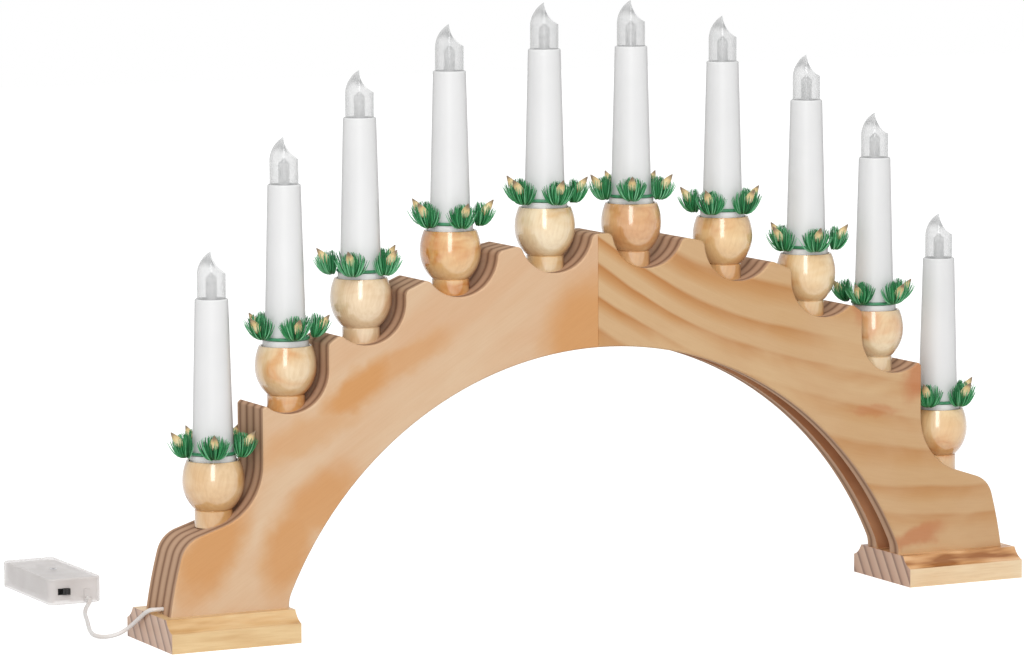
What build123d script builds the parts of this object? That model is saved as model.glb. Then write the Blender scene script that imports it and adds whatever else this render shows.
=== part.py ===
"""Candle arch: a wooden arch in two halves on two feet. Ten turned cups stand in its bites,
each with an electric candle, a clear flame lens and a loose wreath of needle sprigs. A short
cord leads to a battery box on the floor behind the left foot.

Millimetres, +Z up, +X to the right, the front faces -Y. The origin is on the floor under the
middle of the arch. Cups, candles and wreaths are numbered from the left."""

import math
import os

from build123d import *

os.makedirs("parts", exist_ok=True)

# Shared clearances
fit_clearance = 0.1
loose_clearance = 0.15
overrun = 5.0
match_tolerance = 0.01

# Arch board
arch_length = 500.0
board_thickness = 34.0
crest_height = 199.0
crest_drop_share = 0.4041
crest_rounding = 3.5
rounding_limit_share = 0.4
edge_easing = 0.7
crown_depth = 59.5
leg_width = 65.0
leg_straight = 4.3
leg_rounding = 16.0
flank_bulge = 2.65
groove_width = 14.0
groove_depth = 12.0
seam_x = -2.8
seam_easing = 0.35

# Bites in the crest, from the middle outwards, as shares of the way to the end walls. Their
# radius is a share of the first one's distance from the middle.
bite_x_shares = (0.1395, 0.4238, 0.6951, 0.9199)
bite_radius_share = 0.7965
end_step_width = 51.5
end_bite_radius = 32.0
end_bite_height_share = 0.295
shoulder_slope = 18.0
shoulder_rounding = 15.0

# Cup places, from the middle outwards, as shares of the way to the end walls. The last cups
# stand outside the end walls.
cup_x_shares = (0.1313, 0.414, 0.6776, 0.8966)
end_cup_gap = 20.6
seat_height_shares = (0.8995, 0.851, 0.7397, 0.5764, 0.2935)
seat_sink = 0.6

# Feet
foot_depth = 60.0
foot_height = 16.15
foot_block_height = 10.0
foot_top_depth = 44.8
foot_inner_step = 0.7
foot_overhang = 5.0
cove_sink = 1.1

# Foot screws and crown dowels
screw_radius = 2.0
screw_head_radius = 3.8
screw_head_height = 2.4
screw_head_recess = 1.0
screw_length = 35.0
screw_recess_width = 0.9
screw_recess_depth = 1.3
screw_side_y = 9.5
screw_outer_inset = 14.0
screw_inner_inset = 22.0
dowel_radius = 4.0
dowel_end_wood = 3.0
dowel_height_shares = (0.3445, 0.5462)

# Cups
cup_height = 34.0
cup_rim_radius = 13.6
cup_belly_radius = 15.9
cup_belly_drop = 10.7
cup_waist_radius = 10.2
cup_waist_height = 9.4
cup_neck_radius = 9.8
cup_neck_height = 8.4
cup_ring_groove = 0.5
cup_bore_radius = 12.4
cup_bore_depth = 18.0
cup_rim_easing = 0.4
spigot_radius = 4.5
spigot_length = 8.0
spigot_gap = 0.5
cup_wire_radius = 2.0
wire_hole_radius = 2.5

# Candle tubes and their sleeves
candle_height = 82.2
candle_radius = 10.7
candle_top_radius = 8.5
candle_wall = 1.2
candle_plate = 2.4
candle_top_rounding = 0.8
sleeve_band_radius = 11.8
sleeve_band_height = 2.8
sleeve_drop = 2.5

# Flame lenses and lamp holders
lens_radius = 7.4
lens_recess = 0.8
lens_height = 24.9
lens_straight = 12.4
lens_scoop_radius = 12.5
lens_scoop_offset = 12.4
lens_turn = -25.0
lamp_radius = 2.25
lamp_height = 8.4
lamp_dome_radius = 1.6
lamp_flange_radius = 5.5
lamp_flange_height = 1.6
lens_bore_gap = 0.6

# Wreath rings
ring_radius = 11.65
ring_wire_radius = 0.85
wreath_lift_gap = 0.15
wreath_turns = (5.0, 11.0, -15.0, 25.0, 25.0, 0.0, -26.0, 17.0, -31.0, -25.0)
wreath_front = -116.0

# Needle sprigs
sprig_count = 5
sprig_root_radius = 1.6
sprig_root_height = 1.6
wreath_reach_share = 0.9172
sprig_half_width_share = 0.73
sprig_low_rise = 7.6
sprig_high_rise = 11.2
sprig_high_reach_share = 0.55
needle_width = 0.95
needle_tip_width = 0.45
needle_knee_reach_share = 0.56
needle_knee_rise_share = 0.12
low_needle_turns = (-92.0, -46.0, 0.0, 46.0, 92.0)
high_needle_turns = (-70.0, 70.0, 180.0)
back_needle_reach = 0.4
bud_radius = 2.1
bud_length = 12.4
bud_lean = 31.0
bud_belly_share = 0.4
bud_foot_share = 0.5
bud_tip_radius = 0.4

# Wires in the arch
harness_radius = 1.1
lead_radius = 0.8
lead_corner_radius = 5.0
harness_end_run = 3.0
feed_start_run = 4.0
feed_drop = 8.0
feed_y = -4.6
feed_width = 3.2
feed_height = 4.0
staple_count = 8
staple_wire = 1.0
staple_leg = 5.0

# Battery box, from its near left corner on the floor
box_left_offset = 3.5
box_near_y = 131.7
box_width = 30.0
box_length = 72.0
box_wall = 1.2
box_rounding = 4.5
box_edge_rounding = 1.0
lid_thickness = 1.6
lid_lip_height = 1.2
lid_lip_width = 1.0
divider_y = 18.0
cell_boss_gap = 0.5
cell_lid_gap = 0.6
cell_nub_radius = 1.9
cell_nub_length = 1.2
contact_width = 8.0
contact_thickness = 0.4
contact_boss_height = 3.15
contact_boss_radius = 1.9
contact_tip_radius = 1.2
lid_screw_y = 33.0
lid_screw_radius = 1.0
lid_screw_length = 8.0
lid_screw_head_radius = 2.0
lid_screw_head_height = 1.1
lid_boss_radius = 2.7

# Switch
switch_x = 8.2
switch_height_share = 0.507
switch_slot_width = 6.8
switch_slot_height = 3.6
switch_travel = 2.4
switch_body_width = 9.2
switch_body_height = 5.6
switch_body_depth = 4.4
switch_pocket_depth = 1.8
slider_height = 3.2
slider_proud = 1.7
slider_ridge_width = 0.5
slider_ridge_depth = 0.35

# Cord and its relief at the box
cord_radius = 1.1
cord_arc_share = 0.45
relief_inset = 8.7
relief_width = 3.0
relief_height = 6.4
relief_flange_width = 3.8
relief_flange_height = 7.0
relief_flange_thickness = 0.8
relief_hole_height = 2.5
box_lead_radius = 0.6
box_lead_gap = 1.6

# Places that follow from the sizes above
half_length = arch_length / 2
leg_outer_x = half_length - foot_overhang
leg_inner_x = leg_outer_x - leg_width
end_wall_x = leg_outer_x - end_step_width
bite_radius = bite_radius_share * bite_x_shares[0] * end_wall_x
crest_drop = crest_drop_share * crest_height
crest_radius = (crest_drop**2 + end_wall_x**2) / (2 * crest_drop)
crest_centre_z = crest_height - crest_radius
end_bite_height = end_bite_height_share * crest_height
spring_z = foot_height + leg_straight
span_height = crest_height - crown_depth
span_rise = span_height - spring_z
span_radius = (leg_inner_x**2 + span_rise**2) / (2 * span_rise)
span_centre_z = span_height - span_radius
flank_radius = leg_outer_x + flank_bulge
flank_centre_z = foot_height - math.sqrt(flank_radius**2 - leg_outer_x**2)
foot_inner_x = leg_inner_x - foot_inner_step
middle_cup_x = cup_x_shares[0] * end_wall_x
dowel_half_length = middle_cup_x - spigot_radius - fit_clearance - abs(seam_x) - dowel_end_wood
sprig_root_x = ring_radius + ring_wire_radius + fit_clearance / 2 + sprig_root_radius
sprig_reach = wreath_reach_share * middle_cup_x - sprig_root_x
sprig_half_width = sprig_half_width_share * sprig_reach
lamp_bore_radius = lamp_radius + lens_bore_gap
harness_turn_radius = span_radius + groove_depth - harness_radius - loose_clearance
feed_z = foot_height + feed_height - harness_radius - loose_clearance * 2
box_left_x = -half_length - box_left_offset
cell_zone_near_y = divider_y + box_wall + contact_thickness
cell_zone_far_y = box_length - box_wall - contact_thickness
cell_radius = (box_width / 2 - box_wall - fit_clearance - lid_boss_radius - cell_boss_gap) / 2
cell_near_y = cell_zone_near_y + contact_boss_height
cell_length = cell_zone_far_y - contact_boss_height - cell_nub_length - cell_near_y
cell_z = box_wall + fit_clearance + cell_radius
box_height = cell_z + cell_radius + cell_lid_gap + lid_thickness
switch_z = switch_height_share * box_height
relief_x = box_width - relief_inset
slider_width = switch_slot_width - switch_travel - 2 * loose_clearance


def cup_places():
    """The axis and seat height of each cup, from the left."""
    places_x = [share * end_wall_x for share in cup_x_shares] + [end_wall_x + end_cup_gap]
    right = [(x, share * crest_height) for x, share in zip(places_x, seat_height_shares)]
    left = [(-x, z) for x, z in reversed(right)]
    return left + right


def place_on_front(face):
    return Plane.XZ * face


def turned(outline):
    """A solid turned about the Z axis from a closed outline of radius and height."""
    return revolve(Plane.XZ * make_face(outline), Axis.Z)


def bent_tube(points, corner_radii, tube_radius):
    """A round tube along straight runs joined by tangent arcs."""
    path = FilletPolyline(*points, radius=corner_radii)
    section = Plane(origin=path @ 0, z_dir=path % 0) * Circle(tube_radius)
    return sweep(section, path=path)


def span_face(growth):
    """The opening under the arch, grown by a depth into the wood, from below the floor."""
    radius = span_radius + growth
    spring_x = math.sqrt(radius**2 - (spring_z - span_centre_z) ** 2)
    arc = ThreePointArc((-spring_x, spring_z), (0, span_centre_z + radius), (spring_x, spring_z))
    legs = Polyline(
        (spring_x, spring_z), (spring_x, -overrun), (-spring_x, -overrun), (-spring_x, spring_z)
    )
    return make_face(arc + legs)


def bite_face(x, low_z):
    """A round-bottomed bite that is open at the top."""
    centre_z = low_z + bite_radius
    top = crest_height + overrun
    slot = Pos(x, (centre_z + top) / 2) * Rectangle(2 * bite_radius, top - centre_z)
    return Pos(x, centre_z) * Circle(bite_radius) + slot


def end_bite_face():
    """The step at the right end: a wall, a round corner and a slope out over the shoulder."""
    centre_x = end_wall_x + end_bite_radius
    centre_z = end_bite_height + end_bite_radius
    slope = math.radians(shoulder_slope)
    top = crest_height + overrun
    outside = half_length + overrun

    def on_arc(angle):
        return (
            centre_x - end_bite_radius * math.cos(angle),
            centre_z - end_bite_radius * math.sin(angle),
        )

    arc_end = on_arc(math.pi / 2 - slope)
    drop = (outside - arc_end[0]) * math.tan(slope)
    arc = ThreePointArc(on_arc(0), on_arc((math.pi / 2 - slope) / 2), arc_end)
    rest = Polyline(
        arc_end,
        (outside, arc_end[1] - drop),
        (outside, top),
        (end_wall_x, top),
        (end_wall_x, centre_z),
    )
    return make_face(arc + rest)


def cross_edge(board, spot):
    """The board's edge that runs from front to back through a corner of its outline."""
    return [
        e
        for e in board.edges().filter_by(Axis.Y)
        if math.hypot(e.center().X - spot[0], e.center().Z - spot[1]) < match_tolerance
    ]


def crest_ends(face):
    """The two corners of each stretch of the crest line that the bites leave."""
    crests = []
    for edge in face.edges().filter_by(GeomType.CIRCLE):
        middle = edge @ (1 / 2)
        if abs(math.hypot(middle.X, middle.Y - crest_centre_z) - crest_radius) < match_tolerance:
            crests.append([(v.X, v.Y) for v in edge.vertices()])
    return crests


def shoulder_corners(face):
    above_foot = sorted((v.X, v.Y) for v in face.vertices() if v.Y > spring_z)
    return [above_foot[0], above_foot[-1]]


def shoulder_radius(face):
    """The shoulders' rounding, less where the slope out to them is short."""
    corner = Vector(*shoulder_corners(face)[-1])
    slopes = [
        e.length
        for e in face.edges().filter_by(GeomType.LINE)
        if min((v.center() - corner).length for v in e.vertices()) < match_tolerance
    ]
    return min(shoulder_rounding, 2 * rounding_limit_share * slopes[0])


def leg_radius():
    """The rounding from the span into the legs, less where the straight legs are short."""
    turn = math.asin((spring_z - span_centre_z) / span_radius)
    return min(leg_rounding, 2 * rounding_limit_share * leg_straight / math.tan(turn / 2))


def rounded_board():
    """The plain board with rounded legs, shoulders and crests, less where a crest is narrow."""
    face = board_face()
    board = extrude(place_on_front(face), amount=board_thickness / 2, both=True)
    for left, right in crest_ends(face):
        width = math.hypot(right[0] - left[0], right[1] - left[1])
        radius = min(crest_rounding, rounding_limit_share * width)
        board = fillet(cross_edge(board, left) + cross_edge(board, right), radius)
    shoulders = [cross_edge(board, spot)[0] for spot in shoulder_corners(face)]
    board = fillet(shoulders, shoulder_radius(face))
    leg_corners = [(-leg_inner_x, spring_z), (leg_inner_x, spring_z)]
    return fillet([cross_edge(board, spot)[0] for spot in leg_corners], leg_radius())


def board_face():
    """The arch board's outline: crest line, bites, end steps, flanks and span."""
    between_walls = Rectangle(2 * end_wall_x, 2 * (crest_height + crest_radius))
    middle = Pos(0, crest_centre_z) * Circle(crest_radius) & between_walls
    blank = middle + (Pos(0, flank_centre_z) * Circle(flank_radius) - between_walls)
    depth = crest_radius + flank_radius
    floor_cut = Pos(0, foot_height - depth) * Rectangle(2 * (flank_radius + overrun), 2 * depth)
    face = blank - floor_cut - span_face(0)
    for x_share, seat_share in zip(bite_x_shares, seat_height_shares):
        x = x_share * end_wall_x
        low_z = seat_share * crest_height + seat_sink
        face = face - bite_face(x, low_z) - bite_face(-x, low_z)
    end = end_bite_face()
    return face - end - mirror(end, Plane.YZ)


def along_z(radius, low_z, high_z, x=0, y=0):
    """A cylinder that stands between two heights."""
    return Pos(x, y, low_z) * Cylinder(
        radius, high_z - low_z, align=(Align.CENTER, Align.CENTER, Align.MIN)
    )


def toward_span(x, z):
    """The unit direction from a point on the board's middle plane to the span's centre."""
    return Vector(-x, 0, span_centre_z - z).normalized()


def wire_hole_start(x, seat_z):
    return Vector(x, 0, seat_z - spigot_length - spigot_gap)


def cup_hole(x, seat_z):
    """The flat seat, the spigot's hole and the wire hole down to the groove."""
    top = crest_height + overrun
    seat = along_z(cup_neck_radius + fit_clearance, seat_z, top, x)
    start = wire_hole_start(x, seat_z)
    spigot_hole = along_z(spigot_radius + fit_clearance, start.Z, seat_z, x)
    direction = toward_span(x, start.Z)
    groove_bottom = span_radius + groove_depth
    depth = math.hypot(x, start.Z - span_centre_z) - groove_bottom + groove_depth / 2
    drill = Plane(origin=start, z_dir=direction) * Cylinder(
        wire_hole_radius, depth, align=(Align.CENTER, Align.CENTER, Align.MIN)
    )
    return [seat, spigot_hole, drill]


def on_groove(radius, turn):
    """A point on the middle plane, at a radius and a turn from the crown about the span."""
    angle = math.radians(turn)
    return Vector(radius * math.sin(angle), 0, span_centre_z + radius * math.cos(angle))


def cup_turn(x, seat_z):
    """The turn from the crown at which a cup's wire reaches the groove."""
    start = wire_hole_start(x, seat_z)
    return math.degrees(math.atan2(start.X, start.Z - span_centre_z))


def staple_turns():
    """Staples stand halfway between the wire holes, and one each side of the crown's joint."""
    turns = [cup_turn(x, z) for x, z in cup_places()]
    middles = [(a + b) / 2 for a, b in zip(turns, turns[1:])]
    crown = len(middles) // 2
    return middles[:crown] + middles[crown + 1 :]


def staple(clearance):
    """A flat-wire staple over the harness, its bridge towards the span, at the crown."""
    wire = staple_wire + 2 * clearance
    half_gap = harness_radius + loose_clearance + staple_wire / 2
    bridge_z = harness_turn_radius - harness_radius - loose_clearance - staple_wire / 2
    leg_top = span_radius + groove_depth + staple_leg + clearance
    bridge = Pos(0, 0, bridge_z) * Box(wire, 2 * half_gap + wire, wire)
    leg_height = leg_top - bridge_z
    leg = Pos(0, half_gap, bridge_z + leg_height / 2) * Box(wire, wire, leg_height)
    return bridge + leg + mirror(leg, Plane.XZ)


def at_groove_turn(solid, turn):
    return Pos(0, 0, span_centre_z) * Rot(0, turn, 0) * solid


def foot_screw_places():
    outer = leg_outer_x - screw_outer_inset
    inner = leg_inner_x + screw_inner_inset
    return [
        (-outer, screw_side_y),
        (-inner, -screw_side_y),
        (inner, -screw_side_y),
        (outer, screw_side_y),
    ]


def feed_channel():
    """A channel across the left leg's underside, from its outer face to the groove."""
    length = leg_outer_x - leg_inner_x + overrun
    round_z = foot_height + feed_height - feed_width / 2
    slot_height = feed_height - feed_width / 2
    slot = Box(length, feed_width, 2 * slot_height)
    roof = Rot(0, 90, 0) * Cylinder(feed_width / 2, length)
    x = -leg_outer_x - overrun + length / 2
    return Pos(x, feed_y, foot_height) * slot + Pos(x, feed_y, round_z) * roof


def arch_halves():
    """The board with its groove, holes and seats, cut in two at the seam."""
    board = rounded_board()
    faces_y = board_thickness / 2
    outline_edges = [
        e
        for e in board.edges()
        if abs(abs(e.center().Y) - faces_y) < match_tolerance and e.center().Z > spring_z
    ]
    board = chamfer(outline_edges, edge_easing)
    cuts = [extrude(place_on_front(span_face(groove_depth)), amount=groove_width / 2, both=True)]
    for x, seat_z in cup_places():
        cuts += cup_hole(x, seat_z)
    for turn in staple_turns():
        cuts.append(at_groove_turn(staple(fit_clearance), turn))
    for x, y in foot_screw_places():
        cuts.append(along_z(screw_radius, 0, screw_head_recess + screw_length + fit_clearance, x, y))
    for z in dowel_heights():
        cuts.append(dowel(z, fit_clearance))
    cuts.append(feed_channel())
    board = board.cut(*[piece for cut in cuts for piece in cut.solids()])
    size = 2 * arch_length
    left = board & (Pos(seam_x - arch_length, 0, 0) * Box(size, size, size))
    right = board & (Pos(seam_x + arch_length, 0, 0) * Box(size, size, size))
    return ease_seam(left), ease_seam(right)


def ease_seam(half):
    """A fine bevel down the joint on the front and the back, as glued boards have."""
    seam_edges = [
        e
        for e in half.edges().filter_by(Axis.Z)
        if abs(e.center().X - seam_x) < match_tolerance
        and abs(abs(e.center().Y) - board_thickness / 2) < edge_easing
        and e.length > crest_rounding
    ]
    return chamfer(seam_edges, seam_easing)


def dowel_heights():
    """The dowels' heights, as shares of the way from the span's top to the crest."""
    return [span_height + share * crown_depth for share in dowel_height_shares]


def dowel(z, clearance):
    return Pos(seam_x, 0, z) * Rot(0, 90, 0) * Cylinder(
        dowel_radius + clearance, 2 * (dowel_half_length + clearance)
    )


def foot(side):
    """A foot with a coved front and back, side -1 for the left and 1 for the right."""
    half_depth = foot_depth / 2
    half_top = foot_top_depth / 2
    low = Vector(half_depth, foot_block_height)
    high = Vector(half_top, foot_height)
    chord = high - low
    inward = Vector(-chord.Y, chord.X).normalized()
    middle = (low + high) / 2 + inward * cove_sink
    front = ThreePointArc(low, middle, high)
    back = ThreePointArc((-low.X, low.Y), (-middle.X, middle.Y), (-high.X, high.Y))
    outline = (
        front
        + back
        + Line(high, (-high.X, high.Y))
        + Polyline(low, (half_depth, 0), (-half_depth, 0), (-low.X, low.Y))
    )
    width = half_length - foot_inner_x
    body = extrude(Plane.YZ * make_face(outline), amount=width)
    start = foot_inner_x if side > 0 else -half_length
    body = Pos(start, 0, 0) * body
    for x, y in foot_screw_places():
        if x * side > 0:
            body -= screw_clearance_hole(x, y)
    return body


def screw_clearance_hole(x, y):
    head = along_z(screw_head_radius + fit_clearance, 0, screw_head_recess, x, y)
    sink = Pos(x, y, screw_head_recess) * Cone(
        screw_head_radius + fit_clearance,
        screw_radius + fit_clearance,
        screw_head_height,
        align=(Align.CENTER, Align.CENTER, Align.MIN),
    )
    return head + sink + along_z(screw_radius + fit_clearance, 0, foot_height, x, y)


def foot_screw(x, y):
    """A countersunk wood screw with a cross recess, head down."""
    tip = 2 * screw_radius
    outline = Polyline(
        (0, screw_head_recess),
        (screw_head_radius, screw_head_recess),
        (screw_radius, screw_head_recess + screw_head_height),
        (screw_radius, screw_head_recess + screw_length - tip),
        (0, screw_head_recess + screw_length),
        (0, screw_head_recess),
    )
    body = turned(outline)
    arm = 2 * screw_head_radius * (1 - rounding_limit_share)
    bar = Pos(0, 0, screw_head_recess) * Box(arm, screw_recess_width, 2 * screw_recess_depth)
    cross = bar + Rot(0, 0, 90) * bar
    return Pos(x, y, 0) * (body - cross)


def cup():
    """A turned cup, its seat at zero: spigot, neck, belly and bore."""
    belly_z = cup_height - cup_belly_drop
    groove_z = cup_neck_height + cup_ring_groove
    lower = TangentArc(
        (cup_belly_radius, belly_z), (cup_waist_radius, cup_waist_height), tangent=(0, -1)
    )
    upper = TangentArc((cup_belly_radius, belly_z), (cup_rim_radius, cup_height), tangent=(0, 1))
    floor_z = cup_height - cup_bore_depth
    inside = Polyline(
        (cup_rim_radius, cup_height),
        (cup_bore_radius, cup_height),
        (cup_bore_radius, floor_z),
        (cup_wire_radius, floor_z),
        (cup_wire_radius, -spigot_length),
        (spigot_radius, -spigot_length),
        (spigot_radius, 0),
        (cup_neck_radius, 0),
        (cup_neck_radius, cup_neck_height),
        (cup_neck_radius - cup_ring_groove, groove_z),
        (cup_waist_radius, cup_waist_height),
    )
    body = turned(lower + upper + inside)
    rim = [
        e
        for e in body.edges().filter_by(GeomType.CIRCLE)
        if abs(e.center().Z - cup_height) < match_tolerance
    ]
    return fillet(rim, cup_rim_easing)


def candle_tube():
    """A tapered tube from the cup's floor to the lens, its foot at zero."""
    top = cup_bore_depth + candle_height
    plate_z = top - candle_plate
    recess_z = top - lens_recess
    hole = lamp_radius + fit_clearance
    recess = lens_radius + fit_clearance
    outline = Polyline(
        (candle_radius, 0),
        (candle_radius, cup_bore_depth),
        (candle_top_radius, top),
        (recess, top),
        (recess, recess_z),
        (hole, recess_z),
        (hole, plate_z),
        (candle_top_radius - candle_wall, plate_z),
        (candle_radius - candle_wall, cup_bore_depth),
        (candle_radius - candle_wall, 0),
        (candle_radius, 0),
    )
    body = turned(outline)
    outer_edge = [
        e
        for e in body.edges().filter_by(GeomType.CIRCLE)
        if abs(e.center().Z - top) < match_tolerance
        and abs(e.radius - candle_top_radius) < match_tolerance
    ]
    wall = candle_top_radius - recess
    return fillet(outer_edge, min(candle_top_rounding, wall * 2 * rounding_limit_share))


def candle_sleeve():
    """The white sleeve that fills the cup's bore and shows as a band above the rim."""
    outer = cup_bore_radius - fit_clearance
    inner = candle_radius + fit_clearance
    step_z = cup_bore_depth - sleeve_drop
    top = cup_bore_depth + sleeve_band_height
    outline = Polyline(
        (inner, 0),
        (outer, 0),
        (outer, step_z),
        (sleeve_band_radius, step_z),
        (sleeve_band_radius, top),
        (inner, top),
        (inner, 0),
    )
    return turned(outline)


def flame_lens():
    """A clear flame with one side scooped out, its base at zero."""
    tip = (0, lens_height)
    side = TangentArc((lens_radius, lens_straight), tip, tangent=(0, 1))
    bore = lamp_bore_radius
    bore_top = lens_recess + lamp_height + lamp_dome_radius + lens_bore_gap
    rest = Polyline(
        tip,
        (0, bore_top + bore),
        (bore, bore_top),
        (bore, 0),
        (lens_radius, 0),
        (lens_radius, lens_straight),
    )
    body = turned(side + rest)
    scoop = Pos(lens_scoop_offset, 0, lens_height) * Rot(90, 0, 0) * Cylinder(
        lens_scoop_radius, 4 * lens_radius
    )
    return Rot(0, 0, lens_turn) * (body - scoop)


def lamp():
    """A lamp holder with its flange under the candle's top plate, the plate's top at zero."""
    under_plate = -candle_plate
    flange_z = under_plate - lamp_flange_height
    dome = ThreePointArc(
        (lamp_dome_radius, lamp_height),
        (
            lamp_dome_radius * math.cos(math.pi / 4),
            lamp_height + lamp_dome_radius * math.sin(math.pi / 4),
        ),
        (0, lamp_height + lamp_dome_radius),
    )
    rest = Polyline(
        (0, lamp_height + lamp_dome_radius),
        (0, flange_z),
        (lamp_flange_radius, flange_z),
        (lamp_flange_radius, under_plate),
        (lamp_radius, under_plate),
        (lamp_radius, lamp_height),
        (lamp_dome_radius, lamp_height),
    )
    return turned(dome + rest)


def wreath_z(seat_z):
    """The height of a wreath ring's middle."""
    return seat_z + cup_height + sleeve_band_height + wreath_lift_gap + ring_wire_radius


def strand(points, widths, side):
    """A four-sided needle through a few square sections, all facing along the whole needle."""
    along = (points[-1] - points[0]).normalized()
    up = along.cross(side)
    rings = [
        [
            point + side * (width / 2 * across) + up * (width / 2 * high)
            for across, high in ((1, 1), (-1, 1), (-1, -1), (1, -1))
        ]
        for point, width in zip(points, widths)
    ]
    outlines = [rings[0], rings[-1]]
    for near_ring, far_ring in zip(rings, rings[1:]):
        for corner in range(len(near_ring)):
            following = (corner + 1) % len(near_ring)
            outlines.append(
                [near_ring[corner], near_ring[following], far_ring[following], far_ring[corner]]
            )
    return Solid(Shell([Face(Wire.make_polygon(outline)) for outline in outlines]))


def needle(turn, reach, rise, root):
    """A needle that leaves its root flat and curves up, turned away from straight out."""
    angle = math.radians(turn)
    out = Vector(math.cos(angle), math.sin(angle), 0)
    side = Vector(-math.sin(angle), math.cos(angle), 0)
    up = Vector(0, 0, 1)
    start = root + out * (sprig_root_radius / 2)
    knee = root + out * reach * needle_knee_reach_share + up * rise * needle_knee_rise_share
    tip = root + out * reach + up * rise
    widths = (needle_width, needle_width, needle_tip_width)
    return strand((start, knee, tip), widths, side)


def sprig():
    """A bud in a fan of needles, on a root that stands on the ring's outside, facing +X."""
    root = Vector(sprig_root_x, 0, 0)
    low_root = root + Vector(0, 0, needle_width / 2)
    high_root = root + Vector(0, 0, sprig_root_height)
    pieces = []
    for turn in low_needle_turns:
        angle = math.radians(turn)
        reach = math.hypot(sprig_reach * math.cos(angle), sprig_half_width * math.sin(angle))
        pieces.append(needle(turn, reach, sprig_low_rise, low_root))
    for turn in high_needle_turns:
        reach = sprig_half_width * sprig_high_reach_share
        if abs(turn) > 90:
            reach = sprig_root_radius / 2 + back_needle_reach
        pieces.append(needle(turn, reach, sprig_high_rise - sprig_root_height, high_root))
    bud = turned(
        Polyline(
            (0, 0),
            (bud_radius * bud_foot_share, 0),
            (bud_radius, bud_length * bud_belly_share),
            (bud_tip_radius, bud_length),
            (0, bud_length),
            (0, 0),
        )
    )
    pieces.append(Pos(sprig_root_x, 0, 0) * Rot(0, bud_lean, 0) * bud)
    root_low = -needle_width * rounding_limit_share
    root_body = along_z(sprig_root_radius, root_low, sprig_root_height + needle_width, sprig_root_x)
    return root_body.fuse(*pieces)


def leg_face_x():
    """Where the feed comes out of the left leg's outer face."""
    return -math.sqrt(flank_radius**2 - (feed_z - flank_centre_z) ** 2)


def harness():
    """The wires in the groove with a lead to each lamp, and the feed through the left leg."""
    places = cup_places()
    radius = harness_turn_radius
    right_turn = cup_turn(*places[-1]) + math.degrees(harness_end_run / radius)
    left_turn = cup_turn(*places[0]) - math.degrees(harness_end_run / radius)
    start = on_groove(radius, right_turn)
    end = on_groove(radius, left_turn)
    middle = on_groove(radius, (right_turn + left_turn) / 2)
    arc = ThreePointArc(start, middle, end)
    down = (arc % 1).normalized()
    feed_x = -math.sqrt(radius**2 - (spring_z - span_centre_z) ** 2)
    run_1 = end + down * feed_start_run
    run_3 = Vector(feed_x, feed_y, feed_z)
    run_2 = run_3 + Vector(feed_start_run / 2, 0, feed_drop)
    run_4 = Vector(leg_face_x(), feed_y, feed_z)
    feed_points = [end, run_1, run_2, run_3, run_4]
    feed = FilletPolyline(*feed_points, radius=arc_radii(feed_points))
    path = Wire([arc.edge()] + feed.edges())
    section = Plane(origin=start, z_dir=arc % 0) * Circle(harness_radius)
    run = sweep(section, path=path)
    leads = [lead(x, seat_z) for x, seat_z in places]
    return run.fuse(*leads)


def lead(x, seat_z):
    """A lead from a lamp's flange down the candle, through the cup and into the harness."""
    plate_z = seat_z + cup_height + candle_height - candle_plate
    top = Vector(x, 0, plate_z - lamp_flange_height)
    corner = wire_hole_start(x, seat_z)
    bottom = corner + toward_span(x, corner.Z) * (
        math.hypot(x, corner.Z - span_centre_z) - harness_turn_radius
    )
    return bent_tube([top, corner, bottom], [lead_corner_radius], lead_radius)


def arc_radii(points):
    """One arc radius for each corner of a route, as large as its two runs allow."""
    radii = []
    for before, corner, after in zip(points, points[1:], points[2:]):
        first = Vector(corner) - Vector(before)
        second = Vector(after) - Vector(corner)
        half_turn = math.radians(first.get_angle(second) / 2)
        radii.append(cord_arc_share * min(first.length, second.length) / math.tan(half_turn))
    return radii


def box_block(width, length, low_z, high_z, rounding):
    """An upright block with rounded corners, its left near corner at zero."""
    block = Pos(0, 0, low_z) * Box(
        width, length, high_z - low_z, align=(Align.MIN, Align.MIN, Align.MIN)
    )
    return fillet(block.edges().filter_by(Axis.Z), rounding)


def eased_outline(block, z):
    """The block with its outline at that height rounded over."""
    outline = [e for e in block.edges() if abs(e.center().Z - z) < match_tolerance]
    return fillet(outline, min(box_edge_rounding, box_wall * 2 * rounding_limit_share))


def in_box(solid):
    return Pos(box_left_x, box_near_y, 0) * solid


def cell_x(index):
    left = box_wall + fit_clearance + cell_radius
    return left if index == 0 else box_width - left


def box_centred(width, length, height, x, y, z):
    return Pos(x, y, z) * Box(width, length, height)


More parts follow.
